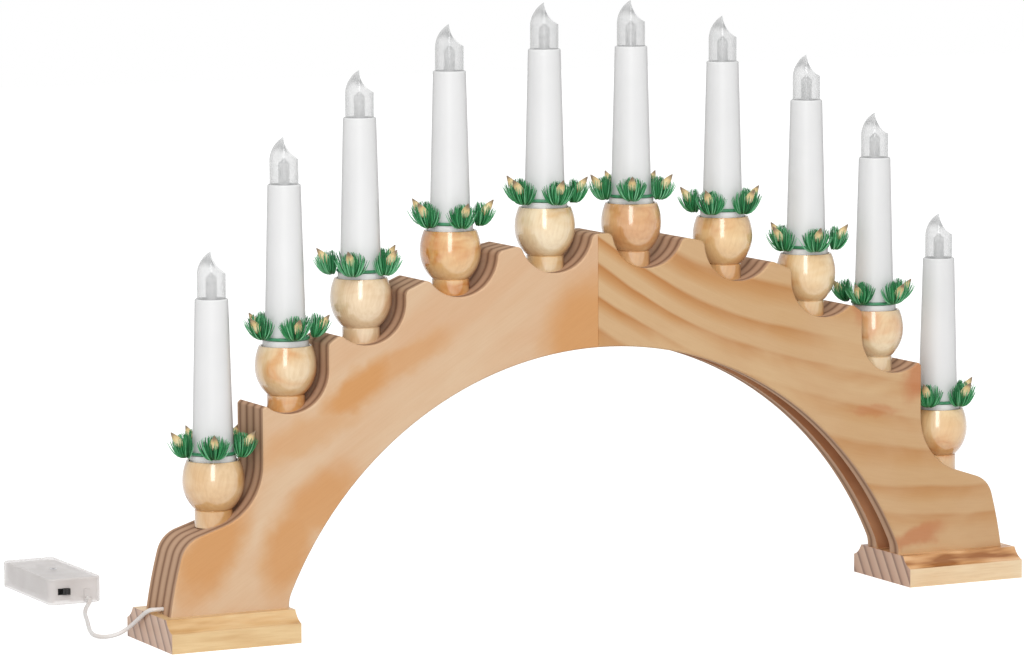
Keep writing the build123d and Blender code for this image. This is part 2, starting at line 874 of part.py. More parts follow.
def battery_base():
    """The clear tray: rounded walls, a divider, a shelf for the switch and a screw boss."""
    top = box_height - lid_thickness
    tray = eased_outline(box_block(box_width, box_length, 0, top, box_rounding), 0)
    hollow = Pos(box_wall, box_wall, 0) * box_block(
        box_width - 2 * box_wall,
        box_length - 2 * box_wall,
        box_wall,
        top + overrun,
        box_rounding - box_wall,
    )
    inner_top = top - lid_lip_height - loose_clearance
    divider = box_centred(
        box_width - box_wall,
        box_wall,
        inner_top,
        box_width / 2,
        divider_y + box_wall / 2,
        inner_top / 2,
    )
    shelf_top = switch_z - switch_body_height / 2
    shelf = box_centred(
        switch_body_width,
        switch_body_depth + box_wall,
        shelf_top,
        switch_x,
        (switch_body_depth + box_wall) / 2,
        shelf_top / 2,
    )
    boss = along_z(lid_boss_radius, 0, top, box_width / 2, lid_screw_y)
    pilot = along_z(
        lid_screw_radius + fit_clearance,
        top - lid_screw_length,
        top + overrun,
        box_width / 2,
        lid_screw_y,
    )
    slot = box_centred(
        switch_slot_width, 4 * box_wall, switch_slot_height, switch_x, 0, switch_z
    )
    notch_z = box_wall + relief_height / 2
    notch = box_centred(relief_width, 4 * box_wall, relief_height, relief_x, 0, notch_z)
    inside = (divider + shelf + boss) & tray
    base = tray - hollow + inside - pilot - slot - notch
    return in_box(base)


def battery_lid():
    """The clear cover with a lip inside the walls and a countersunk screw hole."""
    low = box_height - lid_thickness
    plate = box_block(box_width, box_length, low, box_height, box_rounding)
    plate = eased_outline(plate, box_height)
    inset = box_wall + loose_clearance
    lip_outer = Pos(inset, inset, 0) * box_block(
        box_width - 2 * inset,
        box_length - 2 * inset,
        low - lid_lip_height,
        low,
        box_rounding - inset,
    )
    inset_2 = inset + lid_lip_width
    lip_inner = Pos(inset_2, inset_2, 0) * box_block(
        box_width - 2 * inset_2,
        box_length - 2 * inset_2,
        low - lid_lip_height,
        low,
        box_rounding - inset_2,
    )
    hole = along_z(
        lid_screw_radius + fit_clearance, low - overrun, box_height, box_width / 2, lid_screw_y
    )
    sink = Pos(box_width / 2, lid_screw_y, box_height) * Rot(180, 0, 0) * Cone(
        lid_screw_head_radius + fit_clearance,
        lid_screw_radius + fit_clearance,
        lid_screw_head_height,
        align=(Align.CENTER, Align.CENTER, Align.MIN),
    )
    return in_box(plate + (lip_outer - lip_inner) - hole - sink)


def lid_screw():
    """The cover's countersunk screw with its cross recess."""
    top = box_height
    outline = Polyline(
        (0, top),
        (lid_screw_head_radius, top),
        (lid_screw_radius, top - lid_screw_head_height),
        (lid_screw_radius, top - lid_screw_length),
        (0, top - lid_screw_length),
        (0, top),
    )
    body = turned(outline)
    arm = 2 * lid_screw_head_radius * (1 - rounding_limit_share)
    bar = Pos(0, 0, top) * Box(arm, slider_ridge_width, lid_screw_head_height)
    cross = bar + Rot(0, 0, 90) * bar
    return in_box(Pos(box_width / 2, lid_screw_y, 0) * (body - cross))


def battery_cell(index):
    """A cell on its side, the first with its nub to the far end and the second to the near."""
    total = cell_length + cell_nub_length
    body = along_z(cell_radius, 0, cell_length) + along_z(cell_nub_radius, 0, total)
    lying = Rot(-90, 0, 0) * body
    if index:
        lying = Pos(0, total, 0) * Rot(0, 0, 180) * lying
    return in_box(Pos(cell_x(index), cell_near_y, cell_z) * lying)


def contact(index, far):
    """A plate that stops short of the tray's rounded corner, its boss pressed to the cell's end."""
    toward = -1 if far else 1
    face_y = cell_zone_far_y if far else cell_zone_near_y
    outer = box_rounding + fit_clearance
    inner = cell_x(0) + contact_width / 2
    middle = (outer + inner) / 2
    plate = box_centred(
        inner - outer,
        contact_thickness,
        contact_width,
        box_width - middle if index else middle,
        face_y - toward * contact_thickness / 2,
        cell_z,
    )
    boss = Cone(
        contact_boss_radius,
        contact_tip_radius,
        contact_boss_height,
        align=(Align.CENTER, Align.CENTER, Align.MIN),
    )
    return in_box(plate + Pos(cell_x(index), face_y, cell_z) * Rot(-90 * toward, 0, 0) * boss)


def far_link():
    """The strip that joins the two far contacts along the end wall."""
    return in_box(
        box_centred(
            cell_x(1) - cell_x(0),
            contact_thickness,
            contact_width / 2,
            box_width / 2,
            cell_zone_far_y + contact_thickness / 2,
            cell_z,
        )
    )


def switch_case():
    """The switch's case behind the slot, open to the front for the slider."""
    depth = switch_body_depth - loose_clearance
    y = box_wall + loose_clearance + depth / 2
    case = box_centred(switch_body_width, depth, switch_body_height, switch_x, y, switch_z)
    pocket_y = box_wall + switch_pocket_depth / 2
    pocket = box_centred(
        switch_slot_width, switch_pocket_depth, switch_slot_height, switch_x, pocket_y, switch_z
    )
    return in_box(case - pocket)


def slider():
    """The black knob, at the right end of its travel, with two grip grooves."""
    length = slider_proud + box_wall + switch_pocket_depth - loose_clearance
    x = switch_x + switch_travel / 2
    y = -slider_proud + length / 2
    knob = box_centred(slider_width, length, slider_height, x, y, switch_z)
    front_edges = [
        e for e in knob.edges() if abs(e.center().Y + slider_proud) < match_tolerance
    ]
    knob = fillet(front_edges, slider_ridge_depth)
    for step in (-1, 1):
        groove_x = x + step * slider_width / 4
        knob -= box_centred(
            slider_ridge_width,
            2 * slider_ridge_depth,
            slider_height + overrun,
            groove_x,
            -slider_proud,
            switch_z,
        )
    return in_box(knob)


def strain_relief():
    """The grommet in the near wall, with its flange outside and the cord's hole low in it."""
    z = box_wall + relief_height / 2
    plug_length = 2 * box_wall
    plug = box_centred(
        relief_width - 2 * fit_clearance,
        plug_length,
        relief_height - 2 * fit_clearance,
        relief_x,
        plug_length / 2,
        z,
    )
    flange = box_centred(
        relief_flange_width,
        relief_flange_thickness,
        relief_flange_height,
        relief_x,
        -relief_flange_thickness / 2,
        z - (relief_flange_height - relief_height) / 4,
    )
    flange = fillet(flange.edges().filter_by(Axis.Y), relief_flange_thickness)
    return in_box(plug + flange)


def box_lead(points):
    return in_box(bent_tube(points, arc_radii(points), box_lead_radius))


def battery_leads():
    """The leads in the switch's compartment: relief to switch, relief to contact, and across."""
    inner_y = 2 * box_wall
    switch_back_y = box_wall + switch_body_depth
    divider_face = divider_y
    low_z = relief_hole_height
    side = box_lead_radius + fit_clearance
    run = (divider_face - inner_y) / 3
    to_contact = [
        (relief_x + side, inner_y, low_z),
        (relief_x + side, inner_y + run, low_z),
        (cell_x(1), divider_face - run, cell_z),
        (cell_x(1), divider_face, cell_z),
    ]
    low_corner = (relief_x - side, inner_y + run, low_z)
    back = switch_back_y + run / 2
    to_switch = [
        (relief_x - side, inner_y, low_z),
        low_corner,
        (switch_x + switch_body_width / 2, back + run / 2, (low_z + switch_z) / 2),
        (switch_x + box_lead_gap, back, switch_z),
        (switch_x + box_lead_gap, switch_back_y, switch_z),
    ]
    across = [
        (switch_x - box_lead_gap, switch_back_y, switch_z),
        (switch_x - box_lead_gap, switch_back_y + run, switch_z),
        (cell_x(0), divider_face - run / 2, cell_z),
        (cell_x(0), divider_face, cell_z),
    ]
    return [box_lead(points) for points in (to_contact, to_switch, across)]


def cord_route():
    """The cord's hand-chosen points, from the relief over the floor and foot to the leg."""
    start_x = box_left_x + relief_x
    start_y = box_near_y - relief_flange_thickness
    return [
        (start_x, start_y, relief_hole_height),
        (start_x, 126.0, relief_hole_height),
        (-236.6, 119.5, 1.3),
        (-242.5, 108.0, 1.2),
        (-249.0, 92.0, 1.2),
        (-254.0, 76.0, 1.2),
        (-260.0, 59.0, 1.2),
        (-265.2, 43.0, 1.2),
        (-267.3, 31.5, 1.2),
        (-264.8, 24.0, 1.5),
        (-259.5, 21.0, 2.7),
        (-255.0, 20.0, 5.0),
        (-252.4, 15.5, 8.8),
        (-251.6, 8.0, 13.2),
        (-251.3, 1.5, 16.7),
        (-250.4, -2.8, 18.6),
        (-248.0, feed_y, feed_z),
        (leg_face_x(), feed_y, feed_z),
    ]


def export(name, solids):
    shape = solids[0] if len(solids) == 1 else Compound(children=list(solids))
    export_step(shape, os.path.join("parts", name + ".step"))


def write_arch():
    left, right = arch_halves()
    export("arch_left_half", [left])
    export("arch_right_half", [right])
    export("crown_dowels", [dowel(z, 0) for z in dowel_heights()])
    export("foot_left", [foot(-1)])
    export("foot_right", [foot(1)])
    export("foot_screws", [foot_screw(x, y) for x, y in foot_screw_places()])
    export("wire_staples", [at_groove_turn(staple(0), turn) for turn in staple_turns()])
    export("wiring_harness", [harness()])


def write_candles():
    cup_body = cup()
    tube = candle_tube()
    sleeve = candle_sleeve()
    lens = flame_lens()
    holder = lamp()
    ring = Torus(ring_radius, ring_wire_radius)
    tuft = sprig()
    lenses = []
    lamps = []
    for index, (x, seat_z) in enumerate(cup_places()):
        number = str(index + 1)
        floor_z = seat_z + cup_height - cup_bore_depth
        top_z = seat_z + cup_height + candle_height
        export("cup_" + number, [Pos(x, 0, seat_z) * cup_body])
        export("candle_" + number, [Pos(x, 0, floor_z) * tube, Pos(x, 0, floor_z) * sleeve])
        lenses.append(Pos(x, 0, top_z - lens_recess) * lens)
        lamps.append(Pos(x, 0, top_z) * holder)
        middle = Pos(x, 0, wreath_z(seat_z))
        export("wreath_ring_" + number, [middle * ring])
        first_turn = wreath_front + wreath_turns[index]
        step = 360 / sprig_count
        tufts = [
            middle * Rot(0, 0, first_turn + step * place) * tuft for place in range(sprig_count)
        ]
        export("wreath_sprigs_" + number, tufts)
    export("flame_lenses", lenses)
    export("led_lamps", lamps)


def write_battery_box():
    export("battery_box_base", [battery_base()])
    export("battery_box_lid", [battery_lid()])
    export("lid_screw", [lid_screw()])
    export("battery_cells", [battery_cell(0), battery_cell(1)])
    near_contacts = [contact(0, False), contact(1, False)]
    export("battery_contacts", near_contacts + [contact(0, True) + far_link() + contact(1, True)])
    export("switch_body", [switch_case()])
    export("switch_slider", [slider()])
    export("cord_strain_relief", [strain_relief()])
    export("battery_leads", battery_leads())


def write_cord():
    points = cord_route()
    radii = arc_radii(points)
    tube = bent_tube(points, radii, cord_radius)
    path_length = FilletPolyline(*points, radius=radii).length
    section = math.pi * cord_radius**2
    print("cord length", round(path_length, 1), "radii", [round(radius, 1) for radius in radii])
    print("cord volume", round(tube.volume, 1), "section times length", round(section * path_length, 1))
    export("cord", [tube])


write_arch()
write_candles()
write_battery_box()
write_cord()
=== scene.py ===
import math

import bpy
from mathutils import Matrix, Vector


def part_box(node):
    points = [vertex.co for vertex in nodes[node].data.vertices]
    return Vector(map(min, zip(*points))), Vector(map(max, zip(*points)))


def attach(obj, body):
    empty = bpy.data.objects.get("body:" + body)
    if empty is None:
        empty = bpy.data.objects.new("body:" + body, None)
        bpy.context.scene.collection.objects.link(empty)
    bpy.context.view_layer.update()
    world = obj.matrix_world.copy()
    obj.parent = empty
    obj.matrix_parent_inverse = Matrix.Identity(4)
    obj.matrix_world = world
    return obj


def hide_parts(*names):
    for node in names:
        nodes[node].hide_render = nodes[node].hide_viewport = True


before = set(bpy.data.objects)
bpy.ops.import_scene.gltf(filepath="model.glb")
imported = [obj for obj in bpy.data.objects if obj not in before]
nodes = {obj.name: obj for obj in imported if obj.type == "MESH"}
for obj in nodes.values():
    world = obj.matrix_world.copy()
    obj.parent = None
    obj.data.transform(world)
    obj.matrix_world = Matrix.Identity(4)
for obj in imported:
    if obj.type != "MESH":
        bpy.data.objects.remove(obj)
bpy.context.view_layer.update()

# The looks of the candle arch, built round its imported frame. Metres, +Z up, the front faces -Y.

# Sizes that the dressed pieces share with the frame, in metres
ring_radius = 0.01165
sprig_count = 5
cord_diameter = 0.0022
span_radius = 0.1956
span_centre_z = -0.0561
groove_depth = 0.012
groove_width = 0.014

# How the wreaths lie: the way their first sprig faces and each one's own turn, in degrees, and
# the two that reach over a crest of the board, where the needles stay higher
wreath_front = -116.0
wreath_turns = (5.0, 22.0, -15.0, 25.0, 25.0, 0.0, -26.0, 17.0, -31.0, -25.0)
wreaths_over_a_crest = (2, 9)
candle_count = len(wreath_turns)

# The tufts and buds. Lengths are in metres, and the dips are shares of a needle's length.
tuft_past_ring = 0.0027
tuft_height = -0.0016
tuft_height_over_crest = 0.0002
tuft_stretch = (1.0, 0.96, 1.0)
inner_share = 0.28
needle_count = 120
needle_length = 0.0140
needle_width = 0.00062
needle_dip_share = -0.06
needle_dip_share_over_crest = 0.02
bud_past_ring = 0.0040
bud_height = 0.0026
bud_length = 0.0112
bud_radius = 0.0023
bud_lean = math.radians(38)

# The angle from one needle of a tuft to the next
golden_angle = math.radians(137.5)

# A wave texture of scale 1 runs through this many radians in a metre
wave_radians = 20.0


def colour(code):
    """A linear colour from an sRGB hex value."""
    parts = [int(code[i : i + 2], 16) / 255 for i in (1, 3, 5)]
    return (*[p / 12.92 if p <= 0.04045 else ((p + 0.055) / 1.055) ** 2.4 for p in parts], 1.0)


def per_mm(size):
    """The scale of a noise whose features measure that many millimetres."""
    return 1000.0 / size


def bands_per_mm(spacing):
    """The scale of a wave texture whose bands stand that many millimetres apart."""
    return 1000.0 * math.tau / wave_radians / spacing


def add_node(tree, kind, inputs=None, stops=None, **settings):
    """Adds a node. An input takes a value or another node's output, and stops fill a ramp."""
    made = tree.nodes.new(kind)
    for key, value in settings.items():
        setattr(made, key, value)
    for socket, value in (inputs or {}).items():
        if isinstance(value, bpy.types.NodeSocket):
            tree.links.new(value, made.inputs[socket])
        else:
            made.inputs[socket].default_value = value
    if stops:
        elements = made.color_ramp.elements
        elements.remove(elements[1])
        elements[0].position, elements[0].color = stops[0]
        for position, tint in stops[1:]:
            elements.new(position).color = tint
    return made


def new_material(name, **sockets):
    """A material with one principled shader, and the tree it is in."""
    material = bpy.data.materials.new(name)
    material.use_nodes = True
    tree = material.node_tree
    tree.nodes.clear()
    inputs = {key.replace("_", " "): value for key, value in sockets.items()}
    shader = add_node(tree, "ShaderNodeBsdfPrincipled", inputs)
    add_node(tree, "ShaderNodeOutputMaterial", {"Surface": shader.outputs["BSDF"]})
    return material, tree, shader


def dress(name, material):
    """Gives a CAD node its material."""
    slots = nodes[name].data.materials
    slots.clear()
    slots.append(material)


def place_along_grain(tree, place, slope, bend):
    """Places with Z measured across grain lines that climb by a slope and bend along X."""
    parts = add_node(tree, "ShaderNodeSeparateXYZ", {0: place}).outputs
    square = add_node(tree, "ShaderNodeMath", {0: parts["X"], 1: parts["X"]}, operation="MULTIPLY")
    level = add_node(
        tree, "ShaderNodeMath", {0: parts["X"], 1: -slope, 2: parts["Z"]}, operation="MULTIPLY_ADD"
    )
    across = add_node(
        tree, "ShaderNodeMath", {0: square.outputs[0], 1: -bend, 2: level.outputs[0]},
        operation="MULTIPLY_ADD",
    )
    return add_node(
        tree, "ShaderNodeCombineXYZ", {"X": parts["X"], "Y": parts["Y"], "Z": across.outputs[0]}
    ).outputs[0]


def growth_rings(tree, vector, spacing, sway, wave_length):
    """Growth rings cut along the grain: nought after each dark line, rising to one at the next."""
    calm = add_node(tree, "ShaderNodeMapping", {"Vector": vector, "Scale": (0.3, 1, 1)})
    wander = add_node(
        tree, "ShaderNodeTexNoise",
        {"Vector": calm.outputs["Vector"], "Scale": per_mm(wave_length), "Detail": 2.0},
    )
    swayed = add_node(
        tree, "ShaderNodeVectorMath",
        {0: wander.outputs["Color"], 1: (0, sway, sway), 2: calm.outputs["Vector"]},
        operation="MULTIPLY_ADD",
    )
    rings = add_node(
        tree, "ShaderNodeTexWave",
        {"Vector": swayed.outputs["Vector"], "Scale": bands_per_mm(spacing), "Distortion": 1.9,
         "Detail": 3.0, "Detail Scale": 2.2},
        bands_direction="Z", wave_profile="SAW",
    )
    return rings.outputs["Color"]


def warm_patches(tree, place, spots):
    """Soft patches, each given by its middle, length, width, tilt and depth of colour."""
    stray = 0.012
    ragged = add_node(
        tree, "ShaderNodeTexNoise", {"Vector": place, "Scale": per_mm(14), "Detail": 3.0}
    ).outputs["Color"]
    moved = add_node(
        tree, "ShaderNodeVectorMath", {0: ragged, 1: (stray, 0, stray), 2: place},
        operation="MULTIPLY_ADD",
    ).outputs["Vector"]
    centred = add_node(
        tree, "ShaderNodeVectorMath", {0: moved, 1: (-stray / 2, 0, -stray / 2)}, operation="ADD"
    ).outputs["Vector"]
    depths = []
    for x, z, length, width, tilt, depth in spots:
        fitted = add_node(
            tree, "ShaderNodeMapping",
            {"Vector": centred, "Location": (x, 0, z), "Rotation": (0, math.radians(-tilt), 0),
             "Scale": (length / 2, 1, width / 2)},
            vector_type="TEXTURE",
        ).outputs["Vector"]
        middle = add_node(
            tree, "ShaderNodeTexGradient", {"Vector": fitted}, gradient_type="SPHERICAL"
        ).outputs["Fac"]
        depths.append(add_node(
            tree, "ShaderNodeMapRange", {"Value": middle, "From Max": 0.65, "To Max": depth},
            interpolation_type="SMOOTHSTEP",
        ).outputs["Result"])
    deepest = depths[0]
    for depth in depths[1:]:
        deepest = add_node(
            tree, "ShaderNodeMath", {0: deepest, 1: depth}, operation="MAXIMUM"
        ).outputs[0]
    return deepest


def fibres_along(tree, vector):
    """Fine long fibres."""
    thin = add_node(tree, "ShaderNodeMapping", {"Vector": vector, "Scale": (0.06, 1, 1)})
    return add_node(
        tree, "ShaderNodeTexNoise",
        {"Vector": thin.outputs["Vector"], "Scale": per_mm(0.8), "Detail": 3.0},
    ).outputs["Fac"]


def facing(tree, normal, axis, low, high):
    """One on faces that look along an axis, either way, and nought on the others."""
    parts = add_node(tree, "ShaderNodeSeparateXYZ", {0: normal})
    size = add_node(tree, "ShaderNodeMath", {0: parts.outputs[axis]}, operation="ABSOLUTE")
    return add_node(
        tree, "ShaderNodeMapRange", {"Value": size.outputs[0], "From Min": low, "From Max": high}
    ).outputs["Result"]


def inside_groove(tree, place):
    """One on the walls and the bottom of the wire groove under the arch, and just past them."""
    half_depth = groove_depth * 0.54
    half_width = groove_width * 0.52
    from_centre = add_node(
        tree, "ShaderNodeVectorMath", {0: place, 1: (0, 0, -span_centre_z)}, operation="ADD"
    ).outputs["Vector"]
    flat = add_node(
        tree, "ShaderNodeVectorMath", {0: from_centre, 1: (1, 0, 1)}, operation="MULTIPLY"
    ).outputs["Vector"]
    reach = add_node(tree, "ShaderNodeVectorMath", {0: flat}, operation="LENGTH").outputs["Value"]
    deep = add_node(
        tree, "ShaderNodeMath", {0: reach, 1: span_radius + groove_depth / 2, 2: half_depth},
        operation="COMPARE",
    ).outputs[0]
    parts = add_node(tree, "ShaderNodeSeparateXYZ", {0: place})
    near = add_node(
        tree, "ShaderNodeMath", {0: parts.outputs["Y"], 1: 0.0, 2: half_width},
        operation="COMPARE",
    ).outputs[0]
    return add_node(tree, "ShaderNodeMath", {0: deep, 1: near}, operation="MULTIPLY").outputs[0]


# Pine board, sawn and sanded, under a satin lacquer. The faces show soft warm patches and long
# growth rings that deepen to an orange band and fade along the right half. The sawn edges are
# matt and show the glued layers as brown bands, and the wire groove is a darker red brown.
def pine_board(name, slope, bend, tints, ring_tints, ring_depth, spots, spot_tint):
    material, tree, shader = new_material(name, Specular_IOR_Level=0.3)
    place = add_node(tree, "ShaderNodeTexCoord").outputs
    grain = place_along_grain(tree, place["Object"], slope, bend)
    rings = growth_rings(tree, grain, spacing=18.0, sway=0.03, wave_length=75)
    pale, orange, dark = (colour(tint) for tint in ring_tints)
    ringed = add_node(
        tree, "ShaderNodeValToRGB", {"Fac": rings},
        [(0.0, pale), (0.35, pale), (0.66, orange), (0.88, dark), (1.0, pale)],
    ).outputs["Color"]
    long_ways = add_node(tree, "ShaderNodeMapping", {"Vector": grain, "Scale": (0.5, 1, 1)})
    patches = add_node(
        tree, "ShaderNodeTexNoise",
        {"Vector": long_ways.outputs["Vector"], "Scale": per_mm(36), "Detail": 3.0,
         "Roughness": 0.5, "Distortion": 0.5},
    ).outputs["Fac"]
    patched = add_node(
        tree, "ShaderNodeValToRGB", {"Fac": patches},
        [(0.36, colour(tints[0])), (0.5, colour(tints[1])), (0.66, colour(tints[2]))],
    ).outputs["Color"]
    broken = add_node(
        tree, "ShaderNodeMapRange",
        {"Value": patches, "From Min": 0.35, "From Max": 0.6, "To Min": 0.2 * ring_depth,
         "To Max": ring_depth},
    ).outputs["Result"]
    along = add_node(tree, "ShaderNodeSeparateXYZ", {0: place["Object"]}).outputs["X"]
    fading = add_node(
        tree, "ShaderNodeMapRange",
        {"Value": along, "From Min": 0.03, "From Max": 0.13, "To Min": 1.0, "To Max": 0.55},
    ).outputs["Result"]
    broken = add_node(
        tree, "ShaderNodeMath", {0: broken, 1: fading}, operation="MULTIPLY"
    ).outputs[0]
    face = add_node(
        tree, "ShaderNodeMix", {0: broken, 6: patched, 7: ringed}, data_type="RGBA"
    ).outputs[2]
    face = add_node(
        tree, "ShaderNodeMix",
        {0: warm_patches(tree, place["Object"], spots), 6: face, 7: colour(spot_tint)},
        data_type="RGBA",
    ).outputs[2]
    fibres = fibres_along(tree, grain)
    streaks = add_node(
        tree, "ShaderNodeValToRGB", {"Fac": fibres},
        [(0.3, colour("#f3ede7")), (0.6, colour("#ffffff"))],
    ).outputs["Color"]
    face = add_node(
        tree, "ShaderNodeMix", {0: 0.25, 6: face, 7: streaks}, data_type="RGBA",
        blend_type="MULTIPLY",
    ).outputs[2]
    layers = add_node(
        tree, "ShaderNodeTexWave",
        {"Vector": place["Object"], "Scale": bands_per_mm(8.5), "Distortion": 0.7,
         "Detail": 2.0, "Detail Scale": 0.25, "Phase Offset": math.pi},
        bands_direction="Y", wave_profile="SIN",
    ).outputs["Color"]
    edge = add_node(
        tree, "ShaderNodeValToRGB", {"Fac": layers},
        [(0.0, colour("#86664f")), (0.13, colour("#9c795f")), (0.4, colour("#b59175")),
         (1.0, colour("#c09d81"))],
    ).outputs["Color"]
    groove = add_node(
        tree, "ShaderNodeValToRGB", {"Fac": patches},
        [(0.35, colour("#a66f4b")), (0.65, colour("#c4916a"))],
    ).outputs["Color"]
    front = facing(tree, place["Normal"], "Y", 0.4, 0.6)
    outside = add_node(
        tree, "ShaderNodeMix", {0: front, 6: edge, 7: face}, data_type="RGBA"
    ).outputs[2]
    wood = add_node(
        tree, "ShaderNodeMix", {0: inside_groove(tree, place["Object"]), 6: outside, 7: groove},
        data_type="RGBA",
    ).outputs[2]
    tree.links.new(wood, shader.inputs["Base Color"])
    sheen = add_node(tree, "ShaderNodeMapRange", {"Value": front, "To Min": 0.85, "To Max": 0.42})
    tree.links.new(sheen.outputs["Result"], shader.inputs["Roughness"])
    bump = add_node(
        tree, "ShaderNodeBump", {"Height": fibres, "Strength": 0.12, "Distance": 0.0002}
    )
    tree.links.new(bump.outputs["Normal"], shader.inputs["Normal"])
    return material


# Pine feet: a plain cream front, a warmer streaked cove, and slanted dark rings on the sawn ends.
def pine_foot(name, front_tints, cove_tints):
    material, tree, shader = new_material(
        name, Roughness=0.36, Specular_IOR_Level=0.4, Coat_Weight=0.15, Coat_Roughness=0.2
    )
    place = add_node(tree, "ShaderNodeTexCoord").outputs
    long_ways = add_node(
        tree, "ShaderNodeMapping", {"Vector": place["Object"], "Scale": (0.2, 1, 1)}
    )
    clouds = add_node(
        tree, "ShaderNodeTexNoise",
        {"Vector": long_ways.outputs["Vector"], "Scale": per_mm(7), "Detail": 2.0},
    ).outputs["Fac"]
    front = add_node(
        tree, "ShaderNodeValToRGB", {"Fac": clouds},
        [(0.35, colour(front_tints[0])), (0.65, colour(front_tints[1]))],
    ).outputs["Color"]
    cove = add_node(
        tree, "ShaderNodeValToRGB", {"Fac": clouds},
        [(0.4, colour(cove_tints[0])), (0.5, colour(cove_tints[1])), (0.6, colour(cove_tints[2]))],
    ).outputs["Color"]
    upward = facing(tree, place["Normal"], "Z", 0.2, 0.45)
    sides = add_node(
        tree, "ShaderNodeMix", {0: upward, 6: front, 7: cove}, data_type="RGBA"
    ).outputs[2]
    fibres = fibres_along(tree, place["Object"])
    streaks = add_node(
        tree, "ShaderNodeValToRGB", {"Fac": fibres},
        [(0.3, colour("#f0e9e0")), (0.6, colour("#ffffff"))],
    ).outputs["Color"]
    sides = add_node(
        tree, "ShaderNodeMix", {0: 0.6, 6: sides, 7: streaks}, data_type="RGBA",
        blend_type="MULTIPLY",
    ).outputs[2]
    slanted = add_node(
        tree, "ShaderNodeMapping",
        {"Vector": place["Object"], "Rotation": (math.radians(34), 0, 0)},
    ).outputs["Vector"]
    end_rings = add_node(
        tree, "ShaderNodeTexWave",
        {"Vector": slanted, "Scale": bands_per_mm(8.2), "Distortion": 0.8, "Detail": 1.0,
         "Detail Scale": 0.4},
        bands_direction="Y", wave_profile="SAW",
    ).outputs["Color"]
    end = add_node(
        tree, "ShaderNodeValToRGB", {"Fac": end_rings},
        [(0.0, colour("#cdab92")), (0.6, colour("#bd977d")), (0.88, colour("#7d5948")),
         (1.0, colour("#c8a48a"))],
    ).outputs["Color"]
    at_end = facing(tree, place["Normal"], "X", 0.6, 0.9)
    wood = add_node(
        tree, "ShaderNodeMix", {0: at_end, 6: sides, 7: end}, data_type="RGBA"
    ).outputs[2]
    tree.links.new(wood, shader.inputs["Base Color"])
    bump = add_node(
        tree, "ShaderNodeBump", {"Height": fibres, "Strength": 0.12, "Distance": 0.0002}
    )
    tree.links.new(bump.outputs["Normal"], shader.inputs["Normal"])
    return material


# Turned pine cups under a thick glossy lacquer: upright grain between a light and a warm tint,
# in patches that differ from cup to cup, with painted shade that browns the colour where the belly
# turns away from the eye, and a bright soft reflection down it.
def lacquered_cup(name, light, tan, warm, seed):
    material, tree, shader = new_material(
        name, Roughness=0.4, Specular_IOR_Level=0.4, Coat_Weight=1.0, Coat_Roughness=0.13,
        Coat_IOR=1.75
    )
    place = add_node(tree, "ShaderNodeTexCoord").outputs
    upright = add_node(
        tree, "ShaderNodeMapping",
        {"Vector": place["Object"], "Rotation": (0, math.radians(84), 0), "Scale": (0.4, 1, 1)},
    ).outputs["Vector"]
    patches = add_node(
        tree, "ShaderNodeTexNoise",
        {"Vector": upright, "W": seed, "Scale": per_mm(17), "Detail": 3.0, "Roughness": 0.45,
         "Distortion": 0.6},
        noise_dimensions="4D",
    ).outputs["Fac"]
    tinted = add_node(
        tree, "ShaderNodeValToRGB", {"Fac": patches},
        [(0.4, colour(light)), (0.52, colour(tan)), (0.62, colour(warm)), (0.72, colour(tan))],
    ).outputs["Color"]
    fibres = fibres_along(tree, upright)
    streaks = add_node(
        tree, "ShaderNodeValToRGB", {"Fac": fibres},
        [(0.3, colour("#ece2d8")), (0.6, colour("#ffffff"))],
    ).outputs["Color"]
    wood = add_node(
        tree, "ShaderNodeMix", {0: 0.5, 6: tinted, 7: streaks}, data_type="RGBA",
        blend_type="MULTIPLY",
    ).outputs[2]
    # Painted shade: the wood's colour is darkened towards brown where the belly turns away from the
    # eye.
    rim = add_node(tree, "ShaderNodeLayerWeight", {"Blend": 0.42}).outputs["Facing"]
    painted_rim_shade = add_node(
        tree, "ShaderNodeValToRGB", {"Fac": rim},
        [(0.45, colour("#ffffff")), (0.95, colour("#b08a6c"))],
    ).outputs["Color"]
    shaded = add_node(
        tree, "ShaderNodeMix", {0: 0.8, 6: wood, 7: painted_rim_shade}, data_type="RGBA",
        blend_type="MULTIPLY",
    ).outputs[2]
    tree.links.new(shaded, shader.inputs["Base Color"])
    return material


# Smooth moulded plastics and plated metals: one hue with a faint cloudiness and a fine ripple.
def smooth_finish(name, main, cloud, grain_size, ripple, **sockets):
    material, tree, shader = new_material(name, **sockets)
    place = add_node(tree, "ShaderNodeTexCoord")
    clouds = add_node(
        tree, "ShaderNodeTexNoise",
        {"Vector": place.outputs["Object"], "Scale": per_mm(grain_size), "Detail": 2.0},
    ).outputs["Fac"]
    tint = add_node(
        tree, "ShaderNodeValToRGB", {"Fac": clouds}, [(0.35, colour(main)), (0.7, colour(cloud))]
    ).outputs["Color"]
    tree.links.new(tint, shader.inputs["Base Color"])
    bump = add_node(
        tree, "ShaderNodeBump", {"Height": clouds, "Strength": ripple, "Distance": 0.0003}
    )
    tree.links.new(bump.outputs["Normal"], shader.inputs["Normal"])
    return material
